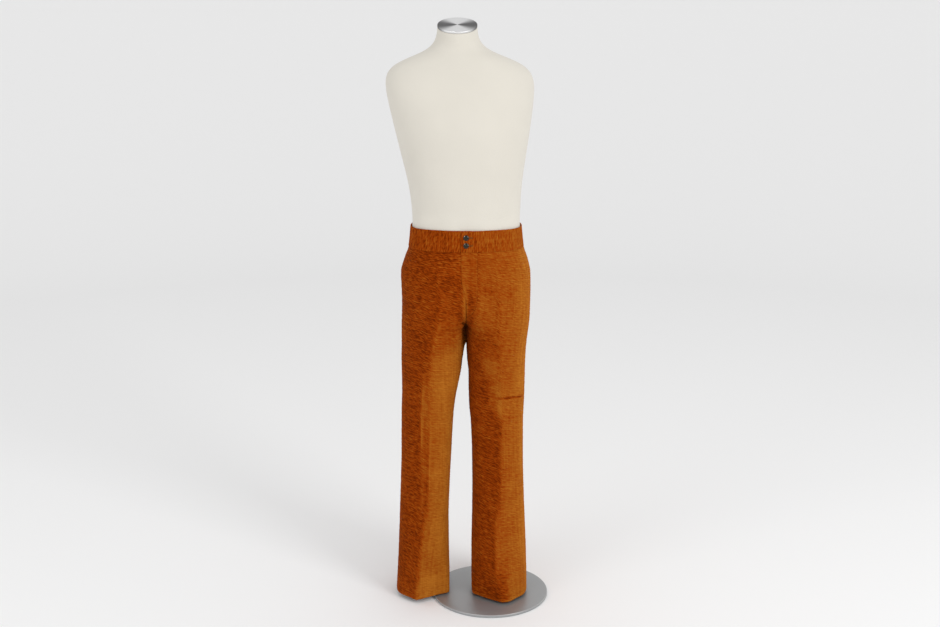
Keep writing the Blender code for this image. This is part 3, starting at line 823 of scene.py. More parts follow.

# Where hands and wear have laid the nap another way, and where highlights and shade are painted
# along the creases, the knee crease, the hips and the crotch: how much its gold changes
BRUSHED_AND_PAINTED_LIGHT = {
    "front_right": (
        Ridge(0.535, 0.418, 0.58, 0.095, 0.0026, 90),
        Ridge(0.430, 0.445, 0.46, 0.215, 0.0125, 90),
        Ridge(0.395, 0.5275, 0.45, 0.110, 0.0026, 90),
        Ridge(0.770, 0.500, 0.20, 0.050, 0.0050, 86),
        Ridge(0.625, 0.620, 0.16, 0.075, 0.0300, 90),
        Ridge(0.890, 0.650, -0.22, 0.150, 0.0900, 90),
        Ridge(0.845, 0.885, -0.20, 0.055, 0.0140, 90),
        Ridge(0.855, 0.300, -0.16, 0.060, 0.0280, 90),
        Ridge(0.250, 0.770, 0.28, 0.150, 0.0220, 90),
        Ridge(0.040, 0.600, 0.50, 0.055, 0.0280, 0),
    ),
    "front_left": (
        Ridge(0.652, 0.560, 0.52, 0.052, 0.0200, 80),
        Ridge(0.650, 0.485, 0.34, 0.046, 0.0100, 88),
        Ridge(0.575, 0.495, 0.55, 0.045, 0.0165, 86),
        Ridge(0.565, 0.460, 0.35, 0.035, 0.0070, 90),
        Ridge(0.765, 0.790, 0.24, 0.050, 0.0260, 80),
        Ridge(0.825, 0.745, 0.22, 0.060, 0.0280, 86),
        Ridge(0.670, 0.200, 0.30, 0.060, 0.0250, 90),
        Ridge(0.600, 0.130, 0.16, 0.500, 0.0130, 90),
        Ridge(0.840, 0.290, 0.16, 0.130, 0.0350, 90),
        Ridge(0.050, 0.430, -0.60, 0.062, 0.0140, 90),
        Ridge(0.300, 0.445, -0.26, 0.080, 0.0110, 90),
        # Painted shade along the knee crease, over the trough that the creases draw there
        Ridge(0.5878, 0.468, -1.8, 0.007, 0.0030, 0),
        Ridge(0.5883, 0.405, -1.0, 0.014, 0.0025, 2),
        Ridge(0.5880, 0.330, -1.3, 0.015, 0.0027, 4),
        Ridge(0.5860, 0.245, -1.3, 0.018, 0.0025, 6),
        Ridge(0.5835, 0.165, -0.4, 0.012, 0.0022, 10),
    ),
}

# Painted highlight along the fly's folded edge and painted shade beside it, as changes of nap
# across its pieces: from the centre to the wearer's left, height, change, half length, half width
FLY_PAINTED_LIGHT = [
    (-0.0035, 0.852, 0.46, 0.075, 0.0062),
    (0.0035, 0.835, 0.20, 0.050, 0.0020),
    (-0.0175, 0.845, -0.34, 0.060, 0.0070),
    (0.0120, 0.835, -0.42, 0.055, 0.0055),
    (0.0100, 0.752, -0.12, 0.035, 0.0080),
]


def ridges(rows, heights, across):
    """The sum of a table's soft ridges at each point of a panel."""
    total = np.zeros_like(heights)
    for row in rows:
        aside = across - row.along * across[:, -1:]
        up = heights - row.height
        angle = math.radians(row.tilt)
        run = aside * math.cos(angle) + up * math.sin(angle)
        off = up * math.cos(angle) - aside * math.sin(angle)
        total += row.amount * np.exp(-((run / row.half_length) ** 4) - (off / row.half_width) ** 2)
    return total


# The nap changes over this distance to both sides, as the mean of these shares of it
NAP_BLEND = 8 * MM
BLEND_SHARES = (-1.0, -0.6, -0.2, 0.2, 0.6, 1.0)


def soften(values, places, reach):
    """Blends values along each row over a distance to both sides."""
    blended = np.zeros_like(values)
    for share in BLEND_SHARES:
        for row, place, value in zip(blended, places, values):
            row += np.interp(place + share * reach, place, value) / len(BLEND_SHARES)
    return blended


# How golden the nap is painted on a level face, and how far that changes as the cloth turns to the
# wearer's left (painted golden sheen) or right (painted shade). Above the hips' fade, each change
# keeps only a share.
Nap = namedtuple("Nap", "level gold dark gold_above dark_above low high")


def paint_nap_light(cut, points, normal, across):
    """How golden the nap is painted at each point of a panel, from 0 to 1: painted sheen and shade
    by the way that each face turns, brushed marks, and painted highlights and shade.
    """
    # Faces turned to the wearer's left are painted golden as sheen, those turned to the right
    # darker as shade
    lean = normal[..., 0]
    above = smooth_step((points[..., 2] - cut.nap.low) / (cut.nap.high - cut.nap.low))
    gold = cut.nap.gold * (1 - above * (1 - cut.nap.gold_above))
    dark = cut.nap.dark * (1 - above * (1 - cut.nap.dark_above))
    nap = cut.nap.level + gold * np.maximum(lean, 0) + dark * np.minimum(lean, 0)
    nap = soften(nap, across, NAP_BLEND)
    nap += ridges(BRUSHED_AND_PAINTED_LIGHT.get(cut.node, ()), points[..., 2], across)
    # Painted highlight and shade along the fly
    if cut.facing == FRONT and cut.upright:
        for place, height, change, half_length, half_width in FLY_PAINTED_LIGHT:
            aside = (points[..., 0] - CENTRE_X - place) / half_width
            up = (points[..., 2] - height) / half_length
            nap += change * np.exp(-(aside**2 + up**2))
    return np.clip(nap, 0, 1)


# How a panel is cut: its node and the way that it faces, where its columns start, how sharply its
# rim turns, the columns of its seams and creases and the places between them, whether its wales
# lie level, its walls, what its seams draw in, its folded edges, its nap, the side of its leg, and
# its flat size and area
Cut = namedtuple(
    "Cut",
    "node facing first rim bends shares upright wall hem_wall dips folds nap leg flat area",
)

# The thighs touch down to here, and the fronts and backs meet all the way above it
TOUCH_LOW = 0.706
TOUCH_FADE = 14 * MM
TOUCH_REACH = 16 * MM
TOUCH_GAP = 0.12 * MM
SEAM_PLANE = CENTRE_X - 0.15 * MM


def meeting(points):
    """How firmly the two legs meet at each point: 1 above the place where they part."""
    return smooth_step((points[..., 2] - TOUCH_LOW) / TOUCH_FADE)


def close_thighs(leg, points, away):
    """Brings a leg panel's inner edge up to the garment's centre plane, where the legs meet."""
    gap = (points[:, -1:, 0] - SEAM_PLANE) * leg - TOUCH_GAP
    moved = points.copy()
    held = meeting(points) * np.exp(-((away / TOUCH_REACH) ** 2))
    moved[..., 0] -= leg * gap * held
    return moved


# The right thigh falls back beside the centre seam, under the fly. The valley lies between two
# heights and starts and ends at two distances from the seam, and all but its start fade out.
VALLEY_LOW, VALLEY_LOW_FADE = 0.700, 0.03
VALLEY_HIGH, VALLEY_HIGH_FADE = 0.785, 0.02
VALLEY_START = 0.012
VALLEY_END, VALLEY_END_FADE = 0.045, 0.035
VALLEY_SHIFT = 6 * MM


def open_valley(points, away):
    """Draws the right front back from the left one below the fly, but not at its seam."""
    up = smooth_step((points[..., 2] - VALLEY_LOW) / VALLEY_LOW_FADE)
    up = up * (1 - smooth_step((points[..., 2] - VALLEY_HIGH) / VALLEY_HIGH_FADE))
    deep = smooth_step(away / VALLEY_START)
    deep = deep * (1 - smooth_step((away - VALLEY_END) / VALLEY_END_FADE))
    moved = points.copy()
    moved[..., 0] -= VALLEY_SHIFT * up * deep
    return moved


# An edge that isn't folded bulges by at most this, and every edge is rounded in these turns
SEAM_BULGE = 0.25 * MM
ROUND_TURNS = (math.radians(38), math.radians(72))
ROUNDS = len(ROUND_TURNS)


def wall_end(outside, inside, way, fold):
    """The pairs of outer and inner rows that round off one end of a wall."""
    middle = (outside + inside) / 2
    half = np.linalg.norm(outside - inside, axis=-1, keepdims=True) / 2
    across = (outside - inside) / (2 * half)
    way = way - across * (way * across).sum(-1, keepdims=True)
    way = way / np.linalg.norm(way, axis=-1, keepdims=True)
    reach = half if fold else np.minimum(half, SEAM_BULGE)
    found = []
    for turn in ROUND_TURNS:
        lift = across * half * math.cos(turn)
        run = way * reach * math.sin(turn)
        found.append((middle + lift + run, middle - lift + run))
    return found


def ring_rows(outer, inner, folds):
    """Closes an outer and an inner sheet into rings of points, rounded over at folded edges."""
    low = wall_end(outer[0], inner[0], outer[0] - outer[1], "low" in folds)
    high = wall_end(outer[-1], inner[-1], outer[-1] - outer[-2], "high" in folds)
    outer = np.concatenate([[pair[0] for pair in low[::-1]], outer, [pair[0] for pair in high]])
    inner = np.concatenate([[pair[1] for pair in low[::-1]], inner, [pair[1] for pair in high]])
    start = wall_end(outer[:, 0], inner[:, 0], outer[:, 0] - outer[:, 1], "start" in folds)
    end = wall_end(outer[:, -1], inner[:, -1], outer[:, -1] - outer[:, -2], "end" in folds)
    ring = [outer]
    ring += [pair[0][:, None] for pair in end]
    ring += [pair[1][:, None] for pair in end[::-1]]
    ring += [inner[:, ::-1]]
    ring += [pair[1][:, None] for pair in start]
    ring += [pair[0][:, None] for pair in start[::-1]]
    return np.concatenate(ring, axis=1)


def round_wall(values, inside=None):
    """A field of the outer sheet carried round the wall's ring, or with its own value inside."""
    values = np.concatenate([values[:1]] * ROUNDS + [values] + [values[-1:]] * ROUNDS)
    first, last = values[:, :1], values[:, -1:]
    back = values[:, ::-1] if inside is None else np.full_like(values, inside)
    return np.concatenate(
        [values] + [last] * (2 * ROUNDS) + [back] + [first] * (2 * ROUNDS), axis=1
    )


def wall_object(name, rings, columns, way, fields, uv):
    """A closed wall from its rings of points, with one value of each field at every point."""
    rows, around = rings.shape[:2]
    index = np.arange(rows * around).reshape(rows, around)
    after = np.roll(index, -1, axis=1)
    sides = np.stack([index[:-1], after[:-1], after[1:], index[1:]], axis=-1).reshape(-1, 4)
    outer = np.concatenate([index[:, -ROUNDS:], index[:, : columns + ROUNDS]], axis=1)
    inner = index[:, columns + ROUNDS : 2 * columns + 3 * ROUNDS][:, ::-1]
    caps = []
    for row, turn in ((0, 1), (-1, -1)):
        top, under = outer[row], inner[row]
        cap = np.stack([top[1:], top[:-1], under[:-1], under[1:]], axis=-1)
        caps.append(cap[:, ::turn])
    faces = np.concatenate([sides, *caps])[:, ::way]
    mesh = bpy.data.meshes.new(name)
    mesh.from_pydata(rings.reshape(-1, 3).tolist(), [], faces.tolist())
    for field, values in fields.items():
        attribute = mesh.attributes.new(field, "FLOAT", "POINT")
        attribute.data.foreach_set("value", values.astype(np.float32).ravel())
    layer = mesh.uv_layers.new(name="cloth")
    corners = np.empty(len(mesh.loops), np.int32)
    mesh.loops.foreach_get("vertex_index", corners)
    layer.data.foreach_set("uv", uv.reshape(-1, 2)[corners].astype(np.float32).ravel())
    mesh.shade_smooth()
    return add_object(name, mesh)


# Wales wander this far up and down over several slubs, but not beside an edge
WANDER = 1.6 * MM
WANDER_SLUBS = 3
EDGE_CALM = 20 * MM

# The cloth was woven a little askew: seen from outside, its wales run down to the right
GRAIN_SKEW = 0.16
SKEW_FADE = 90 * MM

# How far from a seam it draws the cloth in, and how far the one between the legs leaves it flat
SEAM_REACH = 4 * MM
JOINED_REACH = 3 * SEAM_REACH

# How plump a wale is, as a share of full height: with no slub, and what its slubs, its shorter
# lumps and its own yarn add. A lump is this share of a slub long, and a seam flattens this share.
PLUMP_PLAIN = 0.35
PLUMP_BY_SLUB = 0.75
PLUMP_BY_LUMP = 0.3
PLUMP_BY_YARN = 0.3
LUMP_LENGTH = 0.35
SEAM_FLATTENS = 0.7

# The turned-up part of a hem, and how soon its wall thins above
HEM_TURN_UP = 42 * MM
HEM_FADE = 5 * MM

# A painted highlight lightens the folded edge of a hem, where it catches a little light
HEM_PAINTED_HIGHLIGHT = 0.4
HEM_EDGE = 6 * MM

# Nap and pile on the wrong side of the cloth, which is plain weave
WRONG_SIDE = 0.3


def read_sheet(cut):
    """The rows of a panel's solid, and the way that they wind: -1 where it has to be turned."""
    points, flipped = sheet_grid(cut.node, cut.facing, cut.first, cut.rim)
    if not cut.upright:
        points = points.swapaxes(0, 1)
        flipped = not flipped
    steps = np.linalg.norm(np.diff(points, axis=0), axis=-1).mean(axis=1)
    kept = np.concatenate([[True], steps > CLOSE_ROWS])
    return points[kept], -1 if flipped else 1


def lay_rows(cut, points, way, rng):
    """Lays the rows of a panel's points over its solid's, four to a wale."""
    slub_length = bpy.context.scene.flares_cloth.slub_length
    chords = np.linalg.norm(np.diff(points, axis=0), axis=-1)
    knots = np.concatenate([np.zeros((1, points.shape[1])), np.cumsum(chords, axis=0)])
    columns = spread_columns(points, cut.bends, cut.shares)
    knots = spread_columns(knots[..., None], cut.bends, cut.shares)[..., 0]
    count = columns.shape[1]

    # The level of a row is its height, or along a band its distance from the centre back
    length = knots[-1].mean()
    low, high = (points[..., 2].min(), points[..., 2].max()) if cut.upright else (0.0, length)
    low_trim, high_trim = (
        cut.hem_wall / 2 if side in cut.folds else 0.0 for side in ("low", "high")
    )
    width = np.linalg.norm(np.diff(columns, axis=1), axis=-1).sum(axis=1).max()
    spots = np.linspace(0, width, count)
    rows = Rows(*wale_levels(low + low_trim, high - high_trim, rng), spots, width)
    levels = rows.levels
    wander = (yarn_noise(rows, WANDER_SLUBS * slub_length, rng) - 0.5) * WANDER
    inside = np.minimum(levels - levels[0], levels[-1] - levels)
    skew = -(spots - width / 2) * way * (GRAIN_SKEW if cut.upright else 0.0)
    wanted = levels[:, None] + wander * smooth_step(inside / EDGE_CALM)[:, None]
    wanted = wanted + skew * smooth_step(inside / SKEW_FADE)[:, None]
    base = np.empty((len(levels), count, 3))
    for j in range(count):
        dense = np.linspace(0, knots[-1, j], DENSE * len(points))
        curve = hermite(columns[:, j], knots[:, j], dense)
        level = curve[:, 2] if cut.upright else dense / dense[-1] * length
        level = np.maximum.accumulate(level)
        place = np.interp(wanted[:, j], level, dense)
        base[:, j] = hermite(columns[:, j], knots[:, j], place)
    if cut.leg:
        base = shape_hem(cut.node, base)

    # A pressed crease is eased a little
    for k in np.cumsum([len(places) - 1 for places in cut.shares])[:-1]:
        base[:, k] = base[:, k] / 2 + (base[:, k - 1] + base[:, k + 1]) / 4
    return base, rows


def hang(cut, base, way):
    """Lets a panel hang in its creases. Also gives each point's distance from the first seam."""
    chords = np.linalg.norm(np.diff(base, axis=1), axis=-1)
    across = np.concatenate([np.zeros((len(base), 1)), np.cumsum(chords, axis=1)], axis=1)
    away = across[:, -1:] - across
    rise = ridges(CREASES.get(cut.node, ()), base[..., 2], across)
    base = base + cross_normals(base) * way * rise[..., None]
    if cut.leg:
        base = close_thighs(cut.leg, base, away)
    if cut.node == "front_right":
        base = open_valley(base, away)
    return base, across


def seam_dips(cut, levels, across):
    """How far in the seams draw the cloth at each point."""
    away = {
        "start": across,
        "end": across[:, -1:] - across,
        "low": np.abs(levels - levels[0])[:, None],
        "high": np.abs(levels - levels[-1])[:, None],
    }
    dip = np.zeros(across.shape)
    for side, depth in cut.dips.items():
        dip = np.maximum(dip, depth * (1 - smooth_step(away[side] / SEAM_REACH)))
    return dip


def wale_relief(rows, dip, rng):
    """How high the pile stands at each point, as a share of a full wale."""
    slub_length = bpy.context.scene.flares_cloth.slub_length
    slub = yarn_noise(rows, slub_length, rng)
    lump = yarn_noise(rows, LUMP_LENGTH * slub_length, rng)
    yarn = rng.random(rows.wales.max() + 1)[rows.wales, None]
    plump = PLUMP_PLAIN + PLUMP_BY_SLUB * slub + PLUMP_BY_LUMP * (lump - 0.5) + PLUMP_BY_YARN * yarn
    return rows.heights[:, None] * plump * (1 - SEAM_FLATTENS * dip / max(MM, dip.max()))


def cut_cloth(cut, seed):
    """Lays one panel of corduroy over its solid's outer sheet."""
    rng = np.random.default_rng(CLOTH_SEED + seed)
    points, way = read_sheet(cut)
    base, rows = lay_rows(cut, points, way, rng)
    base, across = hang(cut, base, way)
    normal = cross_normals(base) * way
    # The nap carries painted sheen and shade
    nap = paint_nap_light(cut, base, normal, across)
    dip = seam_dips(cut, rows.levels, across)
    relief = wale_relief(rows, dip, rng)
    above = rows.levels - rows.levels[0]
    doubled = 1 - smooth_step((above - HEM_TURN_UP) / HEM_FADE)
    wall = cut.wall + (cut.hem_wall - cut.wall) * doubled[:, None]
    sink = normal * dip[..., None]
    if cut.leg:
        # A seam between the legs is not drawn apart
        beside = 1 - smooth_step((across[:, -1:] - across) / JOINED_REACH)
        sink[..., 0] *= 1 - meeting(base) * beside
    height = bpy.context.scene.flares_cloth.wale_height
    outer = base + normal * (relief * height)[..., None] - sink
    inner = base - normal * wall[..., None]
    # Painted highlight along the hem's folded edge
    if "low" in cut.folds:
        painted_highlight = HEM_PAINTED_HIGHLIGHT * np.exp(-((above / HEM_EDGE) ** 2))
        nap = np.clip(nap + painted_highlight[:, None], 0, 1)
    rings = ring_rows(outer, inner, cut.folds)
    fields = {"nap": round_wall(nap, WRONG_SIDE), "pile": round_wall(relief, WRONG_SIDE)}
    upward = np.broadcast_to(rows.levels[:, None], across.shape)
    uv = np.stack([round_wall(across * way), round_wall(upward)], axis=-1)
    return wall_object(cut.node + "_cloth", rings, across.shape[1], way, fields, uv)


# Where the columns of points stand across each kind of panel
HALVES = (half_shares(), half_shares())
# The right front has narrow worn streaks beside its crease and beside the fly, painted as highlight
# and shade
STREAKED_HALVES = (
    half_shares(0.79, 0.815, 0.84, 0.865, 0.89),
    half_shares(0.86, 0.88, 0.895, 0.91, 0.925),
)
BAND_SHARES = (np.array([0, 0.03, 0.08, 0.17, 0.3, 0.44, 0.58, 0.72, 0.84, 0.93, 0.98, 1.0]),)
FLY_SHARES = (np.array([0, 0.04, 0.09, *np.linspace(0.14, 0.86, 16), 0.91, 0.96, 1.0]),)

# Thicknesses of cloth, and how far a seam draws it in
WALL = 1.8 * MM
HEM_WALL = 3.4 * MM
BAND_WALL = 2.6 * MM
FLY_WALL = 1.3 * MM
SEAM_DIP = 0.9 * MM

# The cut of what shows, in metres and square metres, without seam allowances or turn-ups
FRONT_FLAT = (0.31, 1.05)
FRONT_AREA = 0.247
BACK_FLAT = (0.31, 1.05)
BACK_AREA = 0.256
BAND_FLAT = (0.44, 0.052)
FLY_FLAT = (0.043, 0.176)
FLY_AREA = 0.0060

# The painted sheen and shade of each leg panel's nap, which are weaker over the hips than down the
# legs
LEG_PAINTED_NAPS = {
    "front_left": Nap(0.27, 0.68, 0.75, 0.85, 0.35, 0.60, 0.75),
    "front_right": Nap(0.30, 0.85, 0.85, 0.30, 0.80, 0.69, 0.76),
    "back_left": Nap(0.28, 0.76, 0.78, 0.80, 0.40, 0.60, 0.75),
    "back_right": Nap(0.28, 0.80, 0.80, 0.40, 0.75, 0.64, 0.76),
}


def leg_cut(face, leg):
    """How a leg panel is cut: half a leg from the waistband to the hem."""
    return Cut(
        node=f"{face}_{leg}",
        facing=FRONT if face == "front" else BACK,
        first=(1, 0, 0) if leg == "left" else (-1, 0, 0),
        rim=LEG_RIM,
        bends=(0, 6, 12),
        shares=STREAKED_HALVES if (face, leg) == ("front", "right") else HALVES,
        upright=True,
        wall=WALL,
        hem_wall=HEM_WALL,
        dips={"start": SEAM_DIP, "end": SEAM_DIP, "high": SEAM_DIP},
        folds=("low",),
        nap=LEG_PAINTED_NAPS[f"{face}_{leg}"],
        leg=1 if leg == "left" else -1,
        flat=FRONT_FLAT if face == "front" else BACK_FLAT,
        area=FRONT_AREA if face == "front" else BACK_AREA,
    )


def band_cut(leg):
    """How half of the waistband is cut: its wales run up and down."""
    return Cut(
        node=f"waistband_{leg}",
        facing=(1, 0, 0) if leg == "left" else (-1, 0, 0),
        first=(0, 1, 0),
        rim=SOFT_RIM,
        bends=(0, 2),
        shares=BAND_SHARES,
        upright=False,
        wall=BAND_WALL,
        hem_wall=BAND_WALL,
        dips={"low": SEAM_DIP},
        folds=("high", "start", "end"),
        nap=Nap(0.24, 0.30, 0.20, 1, 1, 0, 1),
        leg=0,
        flat=BAND_FLAT,
        area=None,
    )


def fly_cut():
    """How the fly is cut: a strip that is folded at one side and stitched at the other."""
    return Cut(
        node="fly",
        facing=FRONT,
        first=(-1, 0, 0),
        rim=SOFT_RIM,
        bends=(0, 5),
        shares=FLY_SHARES,
        upright=True,
        wall=FLY_WALL,
        hem_wall=FLY_WALL,
        dips={"end": 0.8 * MM, "high": 0.5 * MM, "low": 0.6 * MM},
        folds=("start",),
        nap=Nap(0.30, 0.5, 0.6, 1, 1, 0, 1),
        leg=0,
        flat=FLY_FLAT,
        area=FLY_AREA,
    )


def sew(cut, seed):
    piece = cut_cloth(cut, seed)
    finish_piece(piece, get_material(corduroy), "corduroy", cut.node)


# Hard pieces, raised ring by ring

# Faces that meet at more than this angle keep a sharp edge between them
SHARP = math.radians(32)

# Points of a raised piece that are nearer than this are joined
RING_MERGE = MERGE / 10


def ringed(name, sides, rings, filled=True):
    """A piece raised ring by ring, as on a lathe. A ring is its radius and its height."""
    bpy.ops.object.select_all(action="DESELECT")
    radius, height = rings[0]
    bpy.ops.mesh.primitive_circle_add(
        vertices=sides, radius=radius, fill_type="NGON" if filled else "NOTHING"
    )
    piece = bpy.context.object
    piece.name = piece.data.name = name
    bpy.ops.object.mode_set(mode="EDIT")
    bpy.ops.mesh.select_all(action="SELECT")
    bpy.ops.transform.translate(value=(0, 0, height))
    for next_radius, next_height in rings[1:]:
        bpy.ops.mesh.extrude_region_move(
            TRANSFORM_OT_translate={"value": (0, 0, next_height - height)}
        )
        share = next_radius / radius
        bpy.ops.transform.resize(value=(share, share, 1), center_override=(0, 0, 0))
        radius, height = next_radius, next_height
    bpy.ops.mesh.select_all(action="SELECT")
    bpy.ops.mesh.remove_doubles(threshold=RING_MERGE)
    bpy.ops.mesh.normals_make_consistent(inside=False)
    bpy.ops.object.mode_set(mode="OBJECT")
    bpy.ops.object.shade_smooth_by_angle(angle=SHARP)
    return piece


# An eased edge is drawn in this many steps
ROUND_STEPS = 4


def rounded(radius, low, high, low_round, high_round):
    """Rings of a plain round bar or plate with its two edges eased."""
    turns = [math.pi / 2 * step / ROUND_STEPS for step in range(ROUND_STEPS + 1)]
    rings = []
    for turn in turns:
        inset = low_round * (1 - math.sin(turn))
        rings.append((radius - inset, low + low_round * (1 - math.cos(turn))))
    for turn in turns:
        inset = high_round * (1 - math.cos(turn))
        rings.append((radius - inset, high - high_round * (1 - math.sin(turn))))
    return rings


# The button's rings from its shank to the middle of its dome: shares of its radius and depth
BUTTON_RINGS = (
    (0.38, 0.00),
    (0.38, 0.30),
    (0.44, 0.36),
    (0.92, 0.36),
    (0.975, 0.40),
    (1.00, 0.47),
    (0.985, 0.54),
    (0.95, 0.60),
    (0.90, 0.66),
    (0.82, 0.735),
    (0.72, 0.81),
    (0.60, 0.875),
    (0.47, 0.925),
    (0.33, 0.965),
    (0.18, 0.99),
    (0.04, 1.00),
)
BUTTON_RADIUS = 7 * MM
BUTTON_DEPTH = 3.2 * MM

# A face is on its node's front if its normal's Y lies below this
FRONT_LIMIT = -0.3


def front_direction(node):
    """The way that a turned node faces: the sum of the faces on its front."""
    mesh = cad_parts[node].data
    total = Vector()
    for face in mesh.polygons:
        if face.normal.y < FRONT_LIMIT:
            total += face.normal * face.area
    return total.normalized()


def shank_button(node):
    """A pressed shank button on its own node's axis."""
    rings = [(BUTTON_RADIUS * r, BUTTON_DEPTH * h) for r, h in BUTTON_RINGS]
    piece = ringed(node + "_metal", bpy.context.scene.flares_trim.button_sides, rings)
    ahead = front_direction(node)
    seat = node_middle(node) - ahead * BUTTON_DEPTH / 2
    turn = ahead.to_track_quat("Z", "Y").to_matrix().to_4x4()
    piece.data.transform(Matrix.Translation(seat) @ turn)
    return finish_piece(piece, get_material(aged_nickel), "button", node)


# The neck's cap: a spun plate, tilted forward, with eased edges and a shallow dish in its face
CAP_DEPTH = 5 * MM
CAP_TILT = math.radians(18.5)
CAP_FOOT_ROUND = 0.5 * MM
CAP_ROUND = 1.2 * MM
CAP_DISH = 0.5 * MM
CAP_DISH_STEP = 1.2 * MM
CAP_SIDES = 128

# Rings across a flat face, as shares of its radius
CAP_FACE = (0.75, 0.5, 0.25, 0.02)
PLATE_FACE = (0.8, 0.6, 0.4, 0.2, 0.02)


def neck_plate():
    """The plate that closes the neck, tilted forward with it."""
    rings = rounded(CAP_HALF_WIDTH, 0, CAP_DEPTH, CAP_FOOT_ROUND, CAP_ROUND)
    face = CAP_HALF_WIDTH - CAP_ROUND
    dish = CAP_DEPTH - CAP_DISH
    rings.append((face - CAP_DISH_STEP, CAP_DEPTH - CAP_DISH / 2))
    rings.append((face - 2 * CAP_DISH_STEP, dish))
    rings += [(face * share, dish) for share in CAP_FACE]
    piece = ringed("neck_cap_plate", CAP_SIDES, rings)
    shape = Matrix.Diagonal((1, CAP_HALF_DEPTH / CAP_HALF_WIDTH, 1, 1))
    turn = Matrix.Rotation(CAP_TILT, 4, "X")
    down = Matrix.Translation((0, 0, -CAP_DEPTH / 2))
    piece.data.transform(Matrix.Translation(node_middle("neck_cap")) @ turn @ down @ shape)
    return finish_piece(piece, get_material(spun_aluminium), "steel", "neck_cap")


# The form's faces are joined in pairs up to this angle, its edges over that one stay sharp, and
# the rest is made smooth in two halvings
QUAD_ANGLE = math.radians(40)
FORM_EDGE = math.radians(55)
FORM_HALVINGS = 2


def jersey_form():
    """The form's cover: its solid's shape made smooth, sharp only round the neck and the floor."""
    bpy.ops.object.select_all(action="DESELECT")
    piece = add_object("torso_jersey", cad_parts["torso_form"].data.copy())
    piece.select_set(True)
    bpy.context.view_layer.objects.active = piece
    bpy.ops.object.mode_set(mode="EDIT")
    bpy.ops.mesh.select_all(action="SELECT")
    bpy.ops.mesh.remove_doubles(threshold=MERGE)
    bpy.ops.mesh.tris_convert_to_quads(face_threshold=QUAD_ANGLE, shape_threshold=QUAD_ANGLE)
    bpy.ops.mesh.select_all(action="DESELECT")
    bpy.ops.mesh.edges_select_sharp(sharpness=FORM_EDGE)
    bpy.ops.transform.edge_crease(value=1.0)
    bpy.ops.object.mode_set(mode="OBJECT")
    smooth = piece.modifiers.new("smooth", "SUBSURF")
    smooth.levels = smooth.render_levels = FORM_HALVINGS
    bpy.ops.object.modifier_apply(modifier=smooth.name)
    bpy.ops.object.shade_smooth_by_angle(angle=SHARP)
    return finish_piece(piece, get_material(cotton_jersey), "form", "torso_form")


# Eased edges of the stand's turned parts
PLATE_FOOT_ROUND = 2.0 * MM
PLATE_ROUND = 1.5 * MM
SMALL_EASE = 0.4 * MM
EASE = 0.8 * MM
COLLAR_ROUND = 1.5 * MM
FLANGE_FILLET = 1.5 * MM

# The sockets' wall round the post, the form socket's flange, and the radius of its last rings
SOCKET_WALL = 5 * MM
FLANGE_DEPTH = 6 * MM
CLOSED = 0.2 * MM


def base_plate():
    """The round plate that the stand rests on, its top edge turned to a small round."""
    rim, foot, top = round_node("base_plate")
    rings = rounded(rim, foot, top, PLATE_FOOT_ROUND, PLATE_ROUND)
    rings += [(rim * share, top) for share in PLATE_FACE]
    piece = ringed("base_plate_steel", bpy.context.scene.flares_form.plate_sides, rings)
    return finish_piece(piece, get_material(lacquered_plate), "steel", "base_plate")


def turned_steel(name, node, rings, filled=True):
    """A part of the stand turned from steel and lacquered."""
    piece = ringed(name, bpy.context.scene.flares_form.post_sides, rings, filled)
    return finish_piece(piece, get_material(satin_steel), "steel", node)


def post():
    """The round tube that carries the form."""
    return turned_steel("post_tube", "post", rounded(*round_node("post"), EASE, EASE))


def base_socket():
    """The collar on the plate that holds the post."""
    rim, foot, top = round_node("base_socket")
    bore = rim - SOCKET_WALL
    rings = [(bore, foot), *rounded(rim, foot, top, SMALL_EASE, COLLAR_ROUND)]
    rings += [(bore + SMALL_EASE, top), (bore, top - SMALL_EASE), (bore, foot)]
    return turned_steel("base_socket_collar", "base_socket", rings, filled=False)


def form_socket():
    """The flanged socket under the form that the post stands in."""
    flange, foot, top = round_node("form_socket")
    under = top - FLANGE_DEPTH
    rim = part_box("base_socket")[1].x
    bore = rim - SOCKET_WALL
    # The fillet under the flange is drawn with one ring in its hollow
    hollow = 0.4 * FLANGE_FILLET
    rings = [
        (CLOSED, under),
        (bore, under),
        (bore, foot + SMALL_EASE),
        (bore + SMALL_EASE, foot),
        (rim - EASE, foot),
        (rim, foot + EASE),
        (rim, under - FLANGE_FILLET),
        (rim + hollow, under - hollow),
        (rim + FLANGE_FILLET, under),
        (flange - EASE, under),
        (flange, under + EASE),
        (flange, top - SMALL_EASE),
        (flange - SMALL_EASE, top),
        (CLOSED, top),
    ]
    return turned_steel("form_socket_flange", "form_socket", rings)


# Stitches: one is modelled, and each row is a joined mesh of its copies

# A stitch's rings along its length: place, thickness and how far it has sunk, as shares
STITCH_RINGS = (
    (-0.50, 0.55, 1.00),
    (-0.40, 0.90, 0.35),
    (-0.15, 1.00, 0.00),
    (0.15, 1.00, 0.00),
    (0.40, 0.90, 0.35),
    (0.50, 0.55, 1.00),
)
STITCH_SIDES = 6

# How far a stitch's middle stands over the cloth, and how much lower its ends lie, as shares of
# its thickness
STITCH_RISE = 0.25
STITCH_SINK = 0.8


